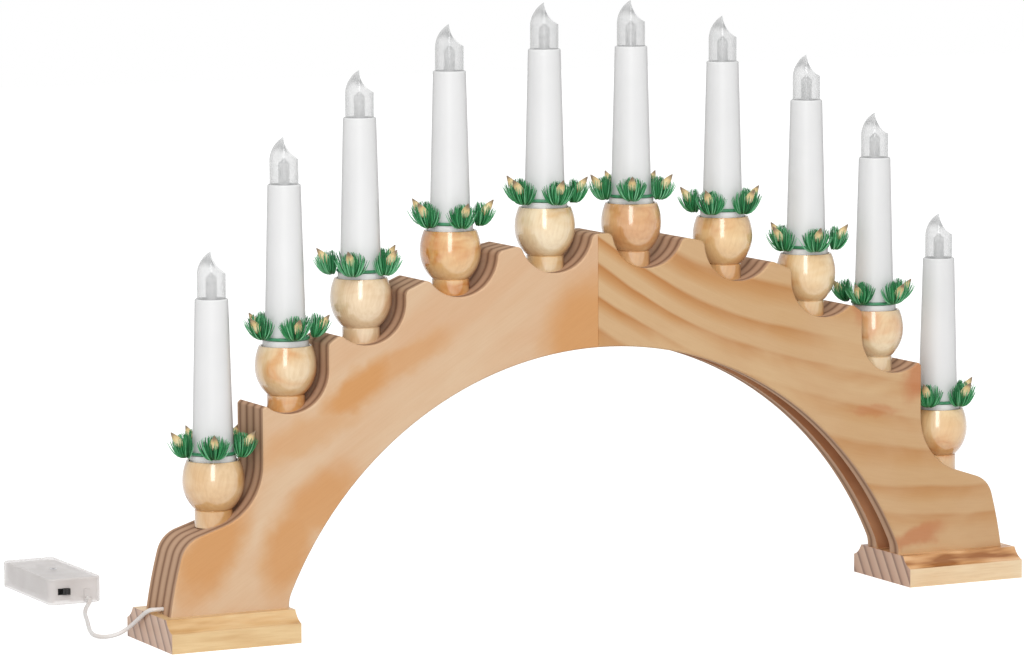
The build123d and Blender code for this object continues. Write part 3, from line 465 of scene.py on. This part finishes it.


# Needles cut from green PVC, with paler and bluish ones among them, and painted shade darkening
# each needle towards its root.
def needle_green():
    material, tree, shader = new_material(
        "needle_green_pvc", Roughness=0.42, Specular_IOR_Level=0.45
    )
    tone = add_node(tree, "ShaderNodeAttribute", attribute_name="tone").outputs["Fac"]
    along = add_node(tree, "ShaderNodeAttribute", attribute_name="along").outputs["Fac"]
    kinds = add_node(
        tree, "ShaderNodeValToRGB", {"Fac": tone},
        [(0.0, colour("#0f4f29")), (0.35, colour("#1b7640")), (0.7, colour("#3a9d5e")),
         (1.0, colour("#84cd9d"))],
    ).outputs["Color"]
    # Painted shade: each needle darkens to a grey green towards its root inside the tuft.
    depth = add_node(
        tree, "ShaderNodeValToRGB", {"Fac": along},
        [(0.0, colour("#86998b")), (0.4, colour("#ffffff"))],
    ).outputs["Color"]
    tint = add_node(
        tree, "ShaderNodeMix", {0: 1.0, 6: kinds, 7: depth}, data_type="RGBA", blend_type="MULTIPLY"
    ).outputs[2]
    tree.links.new(tint, shader.inputs["Base Color"])
    return material


# Buds moulded in cream with a brown foot and tip.
def bud_cream():
    material, tree, shader = new_material(
        "bud_cream_pvc", Roughness=0.35, Specular_IOR_Level=0.5
    )
    along = add_node(tree, "ShaderNodeAttribute", attribute_name="along").outputs["Fac"]
    place = add_node(tree, "ShaderNodeTexCoord")
    speck = add_node(
        tree, "ShaderNodeTexNoise",
        {"Vector": place.outputs["Object"], "Scale": per_mm(1.5), "Detail": 2.0},
    ).outputs["Fac"]
    shifted = add_node(
        tree, "ShaderNodeMath", {0: speck, 1: 0.22, 2: along}, operation="MULTIPLY_ADD"
    ).outputs[0]
    tint = add_node(
        tree, "ShaderNodeValToRGB", {"Fac": shifted},
        [(0.1, colour("#7d6238")), (0.3, colour("#c9a968")), (0.5, colour("#efe3b8")),
         (0.8, colour("#d9bd85")), (1.02, colour("#806a50"))],
    ).outputs["Color"]
    tree.links.new(tint, shader.inputs["Base Color"])
    return material


def group_tree(name, sizes):
    """An empty geometry tree with named inputs, and the sockets that give their values."""
    tree = bpy.data.node_groups.new(name, "GeometryNodeTree")
    tree.interface.new_socket("Geometry", in_out="OUTPUT", socket_type="NodeSocketGeometry")
    for label, kind in sizes:
        tree.interface.new_socket(label, in_out="INPUT", socket_type="NodeSocket" + kind)
    return tree, add_node(tree, "NodeGroupInput").outputs


def grown(name, tree, values, material):
    """The plain mesh object that a geometry tree makes with these values."""
    seed_mesh = bpy.data.meshes.new(name + "_seed")
    holder = bpy.data.objects.new(name + "_seed", seed_mesh)
    bpy.context.scene.collection.objects.link(holder)
    modifier = holder.modifiers.new("grow", "NODES")
    modifier.node_group = tree
    for item in tree.interface.items_tree:
        if item.in_out == "INPUT" and item.name in values:
            modifier[item.identifier] = values[item.name]
    holder.update_tag()
    graph = bpy.context.evaluated_depsgraph_get()
    mesh = bpy.data.meshes.new_from_object(holder.evaluated_get(graph))
    bpy.data.objects.remove(holder)
    mesh.materials.clear()
    mesh.materials.append(material)
    piece = bpy.data.objects.new(name, mesh)
    bpy.context.scene.collection.objects.link(piece)
    return piece


tuft_sizes = (
    ("Sprigs", "Int"), ("Needles", "Int"), ("Needle Length", "Float"), ("Needle Width", "Float"),
    ("Needle Dip", "Float"), ("Tuft Stretch", "Vector"), ("Inner Share", "Float"),
    ("Root Radius", "Float"), ("Root Height", "Float"), ("Turn", "Float"), ("Centre", "Vector"),
    ("Seed", "Int"),
)


def tuft_tree(material):
    """Needles that leave a root flat and curve up, set in a spiral, on sprigs round a ring.

    The needle is made a metre long and scaled. What leans in past the root is drawn back by the
    inner share, so that it clears the candle.
    """
    tree, given = group_tree("needle_tufts", tuft_sizes)
    knee = add_node(tree, "ShaderNodeCombineXYZ", {"X": 0.42, "Z": given["Needle Dip"]}).outputs[0]
    bend = add_node(
        tree, "GeometryNodeCurveQuadraticBezier",
        {"Resolution": 5, "Start": (0.05, 0, 0), "Middle": knee, "End": (0.66, 0, 0.62)},
    ).outputs[0]
    factor = add_node(tree, "GeometryNodeSplineParameter").outputs["Factor"]
    marked = add_node(
        tree, "GeometryNodeStoreNamedAttribute",
        {"Geometry": bend, "Name": "along", "Value": factor}, data_type="FLOAT", domain="POINT",
    ).outputs[0]
    taper = add_node(
        tree, "ShaderNodeMapRange",
        {"Value": factor, "From Min": 0.45, "From Max": 1.0, "To Min": 1.0, "To Max": 0.3},
    ).outputs["Result"]
    relative = add_node(
        tree, "ShaderNodeMath", {0: given["Needle Width"], 1: given["Needle Length"]},
        operation="DIVIDE",
    ).outputs[0]
    half = add_node(tree, "ShaderNodeMath", {0: relative, 1: 0.6}, operation="MULTIPLY").outputs[0]
    shape = add_node(
        tree, "GeometryNodeCurvePrimitiveCircle", {"Resolution": 4, "Radius": half}
    ).outputs[0]
    needle = add_node(
        tree, "GeometryNodeCurveToMesh",
        {"Curve": marked, "Profile Curve": shape, "Scale": taper, "Fill Caps": True},
    ).outputs[0]
    spots = add_node(
        tree, "GeometryNodeMeshLine", {"Count": given["Needles"], "Offset": (0, 0, 0)}
    ).outputs[0]
    index = add_node(tree, "GeometryNodeInputIndex").outputs[0]
    share = add_node(
        tree, "ShaderNodeMath", {0: index, 1: given["Needles"]}, operation="DIVIDE"
    ).outputs[0]
    around = add_node(
        tree, "ShaderNodeMath", {0: index, 1: golden_angle}, operation="MULTIPLY"
    ).outputs[0]
    jitter = add_node(
        tree, "FunctionNodeRandomValue", {2: -0.12, 3: 0.12, "ID": index, "Seed": given["Seed"]}
    ).outputs[1]
    inward = add_node(tree, "ShaderNodeMath", {0: share, 1: 1.4}, operation="POWER").outputs[0]
    lean = add_node(
        tree, "ShaderNodeMapRange", {"Value": inward, "To Min": 0.04, "To Max": -0.85}
    ).outputs["Result"]
    leant = add_node(tree, "ShaderNodeMath", {0: lean, 1: jitter}, operation="ADD").outputs[0]
    attitude = add_node(tree, "ShaderNodeCombineXYZ", {"Y": leant, "Z": around}).outputs[0]
    size = add_node(
        tree, "FunctionNodeRandomValue", {2: 0.88, 3: 1.0, "ID": index, "Seed": given["Seed"]}
    ).outputs[1]
    scaled = add_node(
        tree, "ShaderNodeMath", {0: size, 1: given["Needle Length"]}, operation="MULTIPLY"
    ).outputs[0]
    tufted = add_node(
        tree, "GeometryNodeInstanceOnPoints",
        {"Points": spots, "Instance": needle, "Rotation": attitude, "Scale": scaled},
    ).outputs[0]
    tone = add_node(
        tree, "FunctionNodeRandomValue", {2: 0.0, 3: 1.0, "ID": index, "Seed": given["Seed"]}
    ).outputs[1]
    toned = add_node(
        tree, "GeometryNodeStoreNamedAttribute",
        {"Geometry": tufted, "Name": "tone", "Value": tone}, data_type="FLOAT", domain="INSTANCE",
    ).outputs[0]
    whole_tuft = add_node(tree, "GeometryNodeRealizeInstances", {0: toned}).outputs[0]
    place = add_node(tree, "GeometryNodeInputPosition").outputs[0]
    parts = add_node(tree, "ShaderNodeSeparateXYZ", {0: place}).outputs
    inner = add_node(
        tree, "ShaderNodeMath", {0: parts["X"], 1: given["Inner Share"]}, operation="MULTIPLY"
    ).outputs[0]
    nearest = add_node(
        tree, "ShaderNodeMath", {0: parts["X"], 1: inner}, operation="MAXIMUM"
    ).outputs[0]
    off_candle = add_node(
        tree, "ShaderNodeCombineXYZ", {"X": nearest, "Y": parts["Y"], "Z": parts["Z"]}
    ).outputs[0]
    held_off = add_node(
        tree, "GeometryNodeSetPosition", {"Geometry": whole_tuft, "Position": off_candle}
    ).outputs[0]
    stretched = add_node(
        tree, "GeometryNodeTransform", {"Geometry": held_off, "Scale": given["Tuft Stretch"]}
    ).outputs[0]
    set_round = round_the_ring(tree, given, stretched)
    whole = add_node(tree, "GeometryNodeRealizeInstances", {0: set_round}).outputs[0]
    last = add_node(
        tree, "GeometryNodeSetMaterial", {"Geometry": whole, "Material": material}
    ).outputs[0]
    add_node(tree, "NodeGroupOutput", {"Geometry": last})
    return tree


def round_the_ring(tree, given, what):
    """Sets the same thing at each sprig's place, facing out from the ring."""
    places = add_node(
        tree, "GeometryNodeMeshLine", {"Count": given["Sprigs"], "Offset": (0, 0, 0)}
    ).outputs[0]
    index = add_node(tree, "GeometryNodeInputIndex").outputs[0]
    step = add_node(
        tree, "ShaderNodeMath", {0: math.tau, 1: given["Sprigs"]}, operation="DIVIDE"
    ).outputs[0]
    turn = add_node(
        tree, "ShaderNodeMath", {0: index, 1: step, 2: given["Turn"]}, operation="MULTIPLY_ADD"
    ).outputs[0]
    turned = add_node(tree, "ShaderNodeCombineXYZ", {"Z": turn}).outputs[0]
    out = add_node(
        tree, "ShaderNodeCombineXYZ", {"X": given["Root Radius"], "Z": given["Root Height"]}
    ).outputs[0]
    reached = add_node(
        tree, "ShaderNodeVectorRotate", {"Vector": out, "Angle": turn}, rotation_type="Z_AXIS"
    ).outputs[0]
    spot = add_node(
        tree, "ShaderNodeVectorMath", {0: reached, 1: given["Centre"]}, operation="ADD"
    ).outputs[0]
    placed = add_node(
        tree, "GeometryNodeSetPosition", {"Geometry": places, "Position": spot}
    ).outputs[0]
    return add_node(
        tree, "GeometryNodeInstanceOnPoints",
        {"Points": placed, "Instance": what, "Rotation": turned},
    ).outputs[0]


bud_sizes = (
    ("Sprigs", "Int"), ("Bud Length", "Float"), ("Bud Radius", "Float"), ("Lean", "Float"),
    ("Root Radius", "Float"), ("Root Height", "Float"), ("Turn", "Float"), ("Centre", "Vector"),
)


def bud_tree(material):
    """A pointed bud that leans out of each tuft."""
    tree, given = group_tree("buds", bud_sizes)
    lean_x = add_node(tree, "ShaderNodeMath", {0: given["Lean"]}, operation="SINE").outputs[0]
    lean_z = add_node(tree, "ShaderNodeMath", {0: given["Lean"]}, operation="COSINE").outputs[0]
    way = add_node(tree, "ShaderNodeCombineXYZ", {"X": lean_x, "Z": lean_z}).outputs[0]
    end = add_node(
        tree, "ShaderNodeVectorMath", {0: way, "Scale": given["Bud Length"]}, operation="SCALE"
    ).outputs[0]
    line = add_node(
        tree, "GeometryNodeCurvePrimitiveLine", {"Start": (0, 0, 0), "End": end}
    ).outputs[0]
    cut = add_node(tree, "GeometryNodeResampleCurve", {"Curve": line, "Count": 10}).outputs[0]
    factor = add_node(tree, "GeometryNodeSplineParameter").outputs["Factor"]
    marked = add_node(
        tree, "GeometryNodeStoreNamedAttribute",
        {"Geometry": cut, "Name": "along", "Value": factor}, data_type="FLOAT", domain="POINT",
    ).outputs[0]
    early = add_node(tree, "ShaderNodeMath", {0: factor, 1: 0.72}, operation="POWER").outputs[0]
    half_turn = add_node(
        tree, "ShaderNodeMath", {0: early, 1: math.pi * 0.97}, operation="MULTIPLY"
    ).outputs[0]
    swell = add_node(tree, "ShaderNodeMath", {0: half_turn}, operation="SINE").outputs[0]
    kept = add_node(tree, "ShaderNodeMath", {0: swell, 1: 0.1}, operation="MAXIMUM").outputs[0]
    ring = add_node(
        tree, "GeometryNodeCurvePrimitiveCircle", {"Resolution": 10, "Radius": given["Bud Radius"]}
    ).outputs[0]
    bud = add_node(
        tree, "GeometryNodeCurveToMesh",
        {"Curve": marked, "Profile Curve": ring, "Scale": kept, "Fill Caps": True},
    ).outputs[0]
    smooth = add_node(
        tree, "GeometryNodeSetShadeSmooth", {"Geometry": bud, "Shade Smooth": True}
    ).outputs[0]
    set_round = round_the_ring(tree, given, smooth)
    whole = add_node(tree, "GeometryNodeRealizeInstances", {0: set_round}).outputs[0]
    last = add_node(
        tree, "GeometryNodeSetMaterial", {"Geometry": whole, "Material": material}
    ).outputs[0]
    add_node(tree, "NodeGroupOutput", {"Geometry": last})
    return tree


def ring_centre(number):
    """The middle of a wreath's ring."""
    low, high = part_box("wreath_ring_" + str(number))
    return (low + high) / 2


def dress_wreaths():
    """Fuller needles and buds in the place of each wreath's sprigs."""
    green = needle_green()
    cream = bud_cream()
    tufts = tuft_tree(green)
    buds = bud_tree(cream)
    coated_wire = smooth_finish(
        "ring_green_pvc", "#2f7a50", "#4c9670", 3.0, 0.1, Roughness=0.4, Specular_IOR_Level=0.5
    )
    for number, turn in enumerate(wreath_turns, 1):
        high_up = number in wreaths_over_a_crest
        shared = {
            "Sprigs": sprig_count,
            "Turn": math.radians(wreath_front + turn),
            "Centre": tuple(ring_centre(number)),
        }
        body = "wreath_" + str(number)
        needles = grown(
            "needles_" + str(number), tufts,
            {**shared, "Needles": needle_count, "Needle Length": needle_length,
             "Needle Width": needle_width,
             "Needle Dip": needle_dip_share_over_crest if high_up else needle_dip_share,
             "Tuft Stretch": tuft_stretch, "Inner Share": inner_share,
             "Root Radius": ring_radius + tuft_past_ring,
             "Root Height": tuft_height_over_crest if high_up else tuft_height, "Seed": number},
            green,
        )
        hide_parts("wreath_sprigs_" + str(number))
        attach(needles, body)
        bud = grown(
            "buds_" + str(number), buds,
            {**shared, "Root Radius": ring_radius + bud_past_ring, "Root Height": bud_height,
             "Bud Length": bud_length, "Bud Radius": bud_radius, "Lean": bud_lean},
            cream,
        )
        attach(bud, body)
        dress("wreath_ring_" + str(number), coated_wire)


# The cord's route in metres, from the arch's leg over the foot and the floor to the battery box
cord_points = (
    (-0.2446, -0.0046, 0.01875),
    (-0.2480, -0.0046, 0.01875),
    (-0.2504, -0.0028, 0.0186),
    (-0.2513, 0.0015, 0.0167),
    (-0.2516, 0.0080, 0.0132),
    (-0.2524, 0.0155, 0.0088),
    (-0.2550, 0.0200, 0.0050),
    (-0.2595, 0.0210, 0.0027),
    (-0.2648, 0.0240, 0.0015),
    (-0.2673, 0.0315, 0.0012),
    (-0.2652, 0.0430, 0.0012),
    (-0.2600, 0.0590, 0.0012),
    (-0.2540, 0.0760, 0.0012),
    (-0.2490, 0.0920, 0.0012),
    (-0.2425, 0.1080, 0.0012),
    (-0.2366, 0.1195, 0.0013),
    (-0.2322, 0.1260, 0.0025),
    (-0.2322, 0.1309, 0.0025),
)


def lay_cord():
    """The pale round cord, one smooth spline through the route."""
    curve = bpy.data.curves.new("cord_line", "CURVE")
    curve.dimensions = "3D"
    spline = curve.splines.new("NURBS")
    spline.points.add(len(cord_points) - 1)
    for point, place in zip(spline.points, cord_points):
        point.co = (*place, 1.0)
    spline.order_u = 3
    spline.use_endpoint_u = True
    spline.resolution_u = 12
    curve.bevel_depth = cord_diameter / 2
    curve.bevel_resolution = 4
    curve.use_fill_caps = True
    piece = bpy.data.objects.new("supply_cord", curve)
    bpy.context.scene.collection.objects.link(piece)
    curve.materials.append(smooth_finish(
        "cord_pvc", "#dfdddb", "#dbd2cc", 6.0, 0.2, Roughness=0.4, Specular_IOR_Level=0.5
    ))
    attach(piece, "arch")
    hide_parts("cord")


# Each cup's light, tan and warm tint, from the left
cup_tints = (
    ("#dfbd8f", "#d8b07c", "#d1a368"),
    ("#e5cba2", "#dfbb8a", "#d69c5a"),
    ("#e5cba5", "#ddbb91", "#cd9c73"),
    ("#ecca98", "#e2b57a", "#cd873c"),
    ("#ecd8b4", "#e6cca1", "#dfba83"),
    ("#e8c491", "#dfb27c", "#d09860"),
    ("#e9c791", "#e2ba82", "#d6a064"),
    ("#ebd0a3", "#e4c08c", "#d9a365"),
    ("#ebd4ab", "#e4c294", "#dba36c"),
    ("#eaca98", "#e3ba84", "#d69d60"),
)


# Warm patches in the faces of the boards: the middle's X and Z, the length and the width in
# metres, the tilt in degrees, and how deep the colour is
left_spots = (
    (-0.1400, 0.1265, 0.070, 0.026, 32, 0.95),
    (-0.1130, 0.1400, 0.075, 0.020, 28, 0.60),
    (-0.1690, 0.1040, 0.090, 0.026, 24, 0.50),
    (-0.1620, 0.0690, 0.070, 0.040, 40, 0.80),
    (-0.1800, 0.0480, 0.075, 0.038, 66, 0.85),
    (-0.2230, 0.0480, 0.085, 0.044, 56, 0.90),
    (-0.0120, 0.1480, 0.085, 0.062, 66, 0.90),
)
right_spots = (
    (0.1900, 0.1110, 0.034, 0.022, 70, 0.70),
    (0.1549, 0.1496, 0.018, 0.014, -45, 0.50),
    (0.1638, 0.0961, 0.044, 0.008, -3, 0.45),
    (0.1900, 0.0255, 0.050, 0.014, 12, 0.65),
)


def dress_woodwork():
    """The two halves of the board, the feet, the cups and the hidden dowels."""
    left = pine_board(
        "lacquered_pine_left", slope=0.62, bend=0.0, tints=("#d6b999", "#d3b290", "#d0a985"),
        ring_tints=("#d5b493", "#d2ac88", "#cda07a"), ring_depth=0.12, spots=left_spots,
        spot_tint="#ca925a",
    )
    right = pine_board(
        "lacquered_pine_right", slope=-0.64, bend=1.35, tints=("#cdab81", "#c69f75", "#be925f"),
        ring_tints=("#cba87e", "#bf8e5b", "#b27943"), ring_depth=1.0, spots=right_spots,
        spot_tint="#b87147",
    )
    dress("arch_left_half", left)
    dress("arch_right_half", right)
    dress("foot_left", pine_foot(
        "lacquered_pine_foot_left", ("#e0c292", "#d2ae7c"), ("#dcbb8b", "#d6b07d", "#c99f6a")
    ))
    dress("foot_right", pine_foot(
        "lacquered_pine_foot_right", ("#ebd3ae", "#e4c69e"), ("#e3b686", "#c6925f", "#98602f")
    ))
    for number, (light, tan, warm) in enumerate(cup_tints, 1):
        name = "glossy_lacquered_pine_" + str(number)
        dress("cup_" + str(number), lacquered_cup(name, light, tan, warm, seed=1.7 * number))
    dress("crown_dowels", pine_foot(
        "plain_beech_dowel", ("#d9b48c", "#cfa67c"), ("#d9b48c", "#cfa67c", "#c09468")
    ))


# White moulded candles, with painted shade that makes them greyer where the round wall turns away.
def candle_white():
    material, tree, shader = new_material(
        "candle_white_pp", Roughness=0.36, Specular_IOR_Level=0.4
    )
    place = add_node(tree, "ShaderNodeTexCoord").outputs
    clouds = add_node(
        tree, "ShaderNodeTexNoise", {"Vector": place["Object"], "Scale": per_mm(30), "Detail": 2.0}
    ).outputs["Fac"]
    main = add_node(
        tree, "ShaderNodeValToRGB", {"Fac": clouds},
        [(0.35, colour("#e1e1e1")), (0.65, colour("#dedede"))],
    ).outputs["Color"]
    # Painted shade: the white is greyed where the round wall turns away from the eye.
    rim = add_node(tree, "ShaderNodeLayerWeight", {"Blend": 0.5}).outputs["Facing"]
    painted_rim_shade = add_node(
        tree, "ShaderNodeValToRGB", {"Fac": rim},
        [(0.5, colour("#ffffff")), (0.95, colour("#cfcfcf"))],
    ).outputs["Color"]
    tint = add_node(
        tree, "ShaderNodeMix", {0: 1.0, 6: main, 7: painted_rim_shade}, data_type="RGBA", blend_type="MULTIPLY"
    ).outputs[2]
    tree.links.new(tint, shader.inputs["Base Color"])
    return material


# Clear moulded lenses: seen through in the middle, greyer where the wall turns away, with a
# painted reflection of the scooped side as a grey streak under the tip.
def clear_lens():
    material, tree, shader = new_material(
        "lens_clear_acrylic", Roughness=0.12, Specular_IOR_Level=0.5, Coat_Weight=0.3
    )
    place = add_node(tree, "ShaderNodeTexCoord").outputs
    clouds = add_node(
        tree, "ShaderNodeTexNoise", {"Vector": place["Object"], "Scale": per_mm(5), "Detail": 2.0}
    ).outputs["Fac"]
    tint = add_node(
        tree, "ShaderNodeValToRGB", {"Fac": clouds},
        [(0.35, colour("#dcdcdc")), (0.65, colour("#d0d1d1"))],
    ).outputs["Color"]
    # Painted reflection of the scooped side: a grey streak, a little more opaque, where the faces
    # look along Y and tilt up or down.
    painted_reflection_mask = add_node(
        tree, "ShaderNodeMath",
        {0: facing(tree, place["Normal"], "Y", 0.55, 0.85),
         1: facing(tree, place["Normal"], "Z", 0.26, 0.5)},
        operation="MULTIPLY",
    ).outputs[0]
    with_painted_reflection = add_node(
        tree, "ShaderNodeMix", {0: painted_reflection_mask, 6: tint, 7: colour("#8b8c8c")}, data_type="RGBA"
    ).outputs[2]
    tree.links.new(with_painted_reflection, shader.inputs["Base Color"])
    rim = add_node(tree, "ShaderNodeLayerWeight", {"Blend": 0.5}).outputs["Facing"]
    solid = add_node(
        tree, "ShaderNodeMapRange",
        {"Value": rim, "From Min": 0.2, "From Max": 1.0, "To Min": 0.42, "To Max": 0.85},
    ).outputs["Result"]
    denser = add_node(
        tree, "ShaderNodeMath", {0: painted_reflection_mask, 1: 0.35, 2: solid}, operation="MULTIPLY_ADD"
    )
    tree.links.new(denser.outputs[0], shader.inputs["Alpha"])
    return material


def dress_lights():
    """The candles, the lamps in them and the lenses over the lamps."""
    white = candle_white()
    for number in range(1, candle_count + 1):
        dress("candle_" + str(number), white)
    lamp = smooth_finish(
        "lamp_white_abs", "#f4f4f4", "#eeeeee", 4.0, 0.05, Roughness=0.3,
        Specular_IOR_Level=0.5,
    )
    dress("led_lamps", lamp)
    dress("flame_lenses", clear_lens())


def dress_battery_box():
    """The battery box with all that is in it, the wires and the small metal parts."""
    shell = smooth_finish(
        "box_clear_polystyrene", "#f0ebe9", "#e8e2df", 14.0, 0.12, Roughness=0.2,
        Specular_IOR_Level=0.6, Alpha=0.56,
    )
    for name in ("battery_box_base", "battery_box_lid", "cord_strain_relief"):
        dress(name, shell)
    dress("battery_cells", smooth_finish(
        "cell_sleeve_vinyl", "#c9c6c4", "#b9b5b2", 9.0, 0.05, Roughness=0.4,
        Specular_IOR_Level=0.5,
    ))
    dress("battery_contacts", smooth_finish(
        "nickel_plate", "#d8d6cf", "#c6c3ba", 2.0, 0.15, Roughness=0.28, Metallic=1.0
    ))
    black = smooth_finish(
        "switch_black_abs", "#1b1b1c", "#262627", 1.2, 0.15, Roughness=0.38,
        Specular_IOR_Level=0.5,
    )
    dress("switch_body", black)
    dress("switch_slider", black)
    wire = smooth_finish(
        "wire_pvc", "#e3dcd6", "#d8cec6", 5.0, 0.1, Roughness=0.45, Specular_IOR_Level=0.5
    )
    dress("battery_leads", wire)
    dress("wiring_harness", wire)
    zinc = smooth_finish(
        "zinc_plated_steel", "#c9c9cc", "#b5b5b9", 2.5, 0.12, Roughness=0.32, Metallic=1.0
    )
    dress("lid_screw", zinc)
    dress("foot_screws", zinc)
    dress("wire_staples", zinc)


def looked_at(tree):
    """One for what the camera sees straight, in a gloss or through glass, and nought for light."""
    path = add_node(tree, "ShaderNodeLightPath").outputs
    seen = add_node(
        tree, "ShaderNodeMath", {0: path["Is Camera Ray"], 1: path["Is Glossy Ray"]},
        operation="MAXIMUM",
    ).outputs[0]
    return add_node(
        tree, "ShaderNodeMath", {0: seen, 1: path["Is Transmission Ray"]}, operation="MAXIMUM"
    ).outputs[0]


# The lamps: where each stands and aims in metres, its width and height, and its power in watts
softboxes = (
    ("front_softbox", (-1.3, -2.4, 1.4), (0, 0, 0.05), 0.8, 2.9, 42.0),
    ("high_softbox", (-0.8, -1.5, 3.3), (0, 0, 0.05), 0.8, 2.2, 16.0),
    ("top_softbox", (0.3, -0.2, 3.2), (0, 0, 0.1), 2.0, 2.0, 6.0),
)


def build_stage():
    """A pale floor that runs into the white background, and soft studio light."""
    world = bpy.data.worlds.new("studio")
    bpy.context.scene.world = world
    world.use_nodes = True
    tree = world.node_tree
    tree.nodes.clear()
    strength = add_node(
        tree, "ShaderNodeMapRange", {"Value": looked_at(tree), "To Min": 0.62, "To Max": 1.0}
    ).outputs["Result"]
    sky = add_node(
        tree, "ShaderNodeBackground", {"Color": colour("#ffffff"), "Strength": strength}
    )
    add_node(tree, "ShaderNodeOutputWorld", {"Surface": sky.outputs[0]})

    floor_mesh = bpy.data.meshes.new("floor")
    reach = 4.0
    floor_mesh.from_pydata(
        [(-reach, -reach, 0), (reach, -reach, 0), (reach, reach, 0), (-reach, reach, 0)], [],
        [(0, 1, 2, 3)],
    )
    floor = bpy.data.objects.new("floor", floor_mesh)
    bpy.context.scene.collection.objects.link(floor)
    material = bpy.data.materials.new("pale_floor")
    material.use_nodes = True
    tree = material.node_tree
    tree.nodes.clear()
    plain = add_node(tree, "ShaderNodeBsdfDiffuse", {"Color": colour("#e8e8e8")}).outputs[0]
    shaded = add_node(tree, "ShaderNodeBsdfDiffuse", {"Color": colour("#bcbcbc")}).outputs[0]
    glow = add_node(
        tree, "ShaderNodeEmission", {"Color": colour("#ffffff"), "Strength": 0.84}
    ).outputs[0]
    both = add_node(tree, "ShaderNodeAddShader", {0: shaded, 1: glow}).outputs[0]
    surface = add_node(
        tree, "ShaderNodeMixShader", {0: looked_at(tree), 1: plain, 2: both}
    ).outputs[0]
    add_node(tree, "ShaderNodeOutputMaterial", {"Surface": surface})
    floor_mesh.materials.append(material)

    for name, place, aim, width, height, power in softboxes:
        lamp = bpy.data.lights.new(name, "AREA")
        lamp.shape = "RECTANGLE"
        lamp.size, lamp.size_y = width, height
        lamp.energy = power
        holder = bpy.data.objects.new(name, lamp)
        bpy.context.scene.collection.objects.link(holder)
        holder.location = place
        holder.rotation_euler = (Vector(aim) - Vector(place)).to_track_quat("-Z", "Y").to_euler()


def place_camera():
    """The photograph's view, with no shift: the angles in radians, the lens in millimetres."""
    yaw, pitch, roll = 0.459271806, -0.116011736, -0.00399942477
    place = Vector((-1.17146616, -2.27827568, 0.445931296))
    forward = Vector((
        math.sin(yaw) * math.cos(pitch),
        math.cos(yaw) * math.cos(pitch),
        math.sin(pitch),
    ))
    right = Vector((math.cos(yaw), -math.sin(yaw), 0))
    up = right.cross(forward)
    right, up = (
        right * math.cos(roll) + up * math.sin(roll),
        up * math.cos(roll) - right * math.sin(roll),
    )
    camera = bpy.data.cameras.new("photo_camera")
    camera.lens = 172.697
    camera.sensor_width = 36.0
    camera.clip_start, camera.clip_end = 0.05, 50.0
    holder = bpy.data.objects.new("photo_camera", camera)
    bpy.context.scene.collection.objects.link(holder)
    turn = Matrix((right, up, -forward)).transposed().to_4x4()
    holder.matrix_world = Matrix.Translation(place) @ turn
    bpy.context.scene.camera = holder


bpy.context.scene.view_settings.view_transform = "Standard"
place_camera()
lay_cord()
dress_wreaths()
dress_woodwork()
dress_lights()
dress_battery_box()
build_stage()
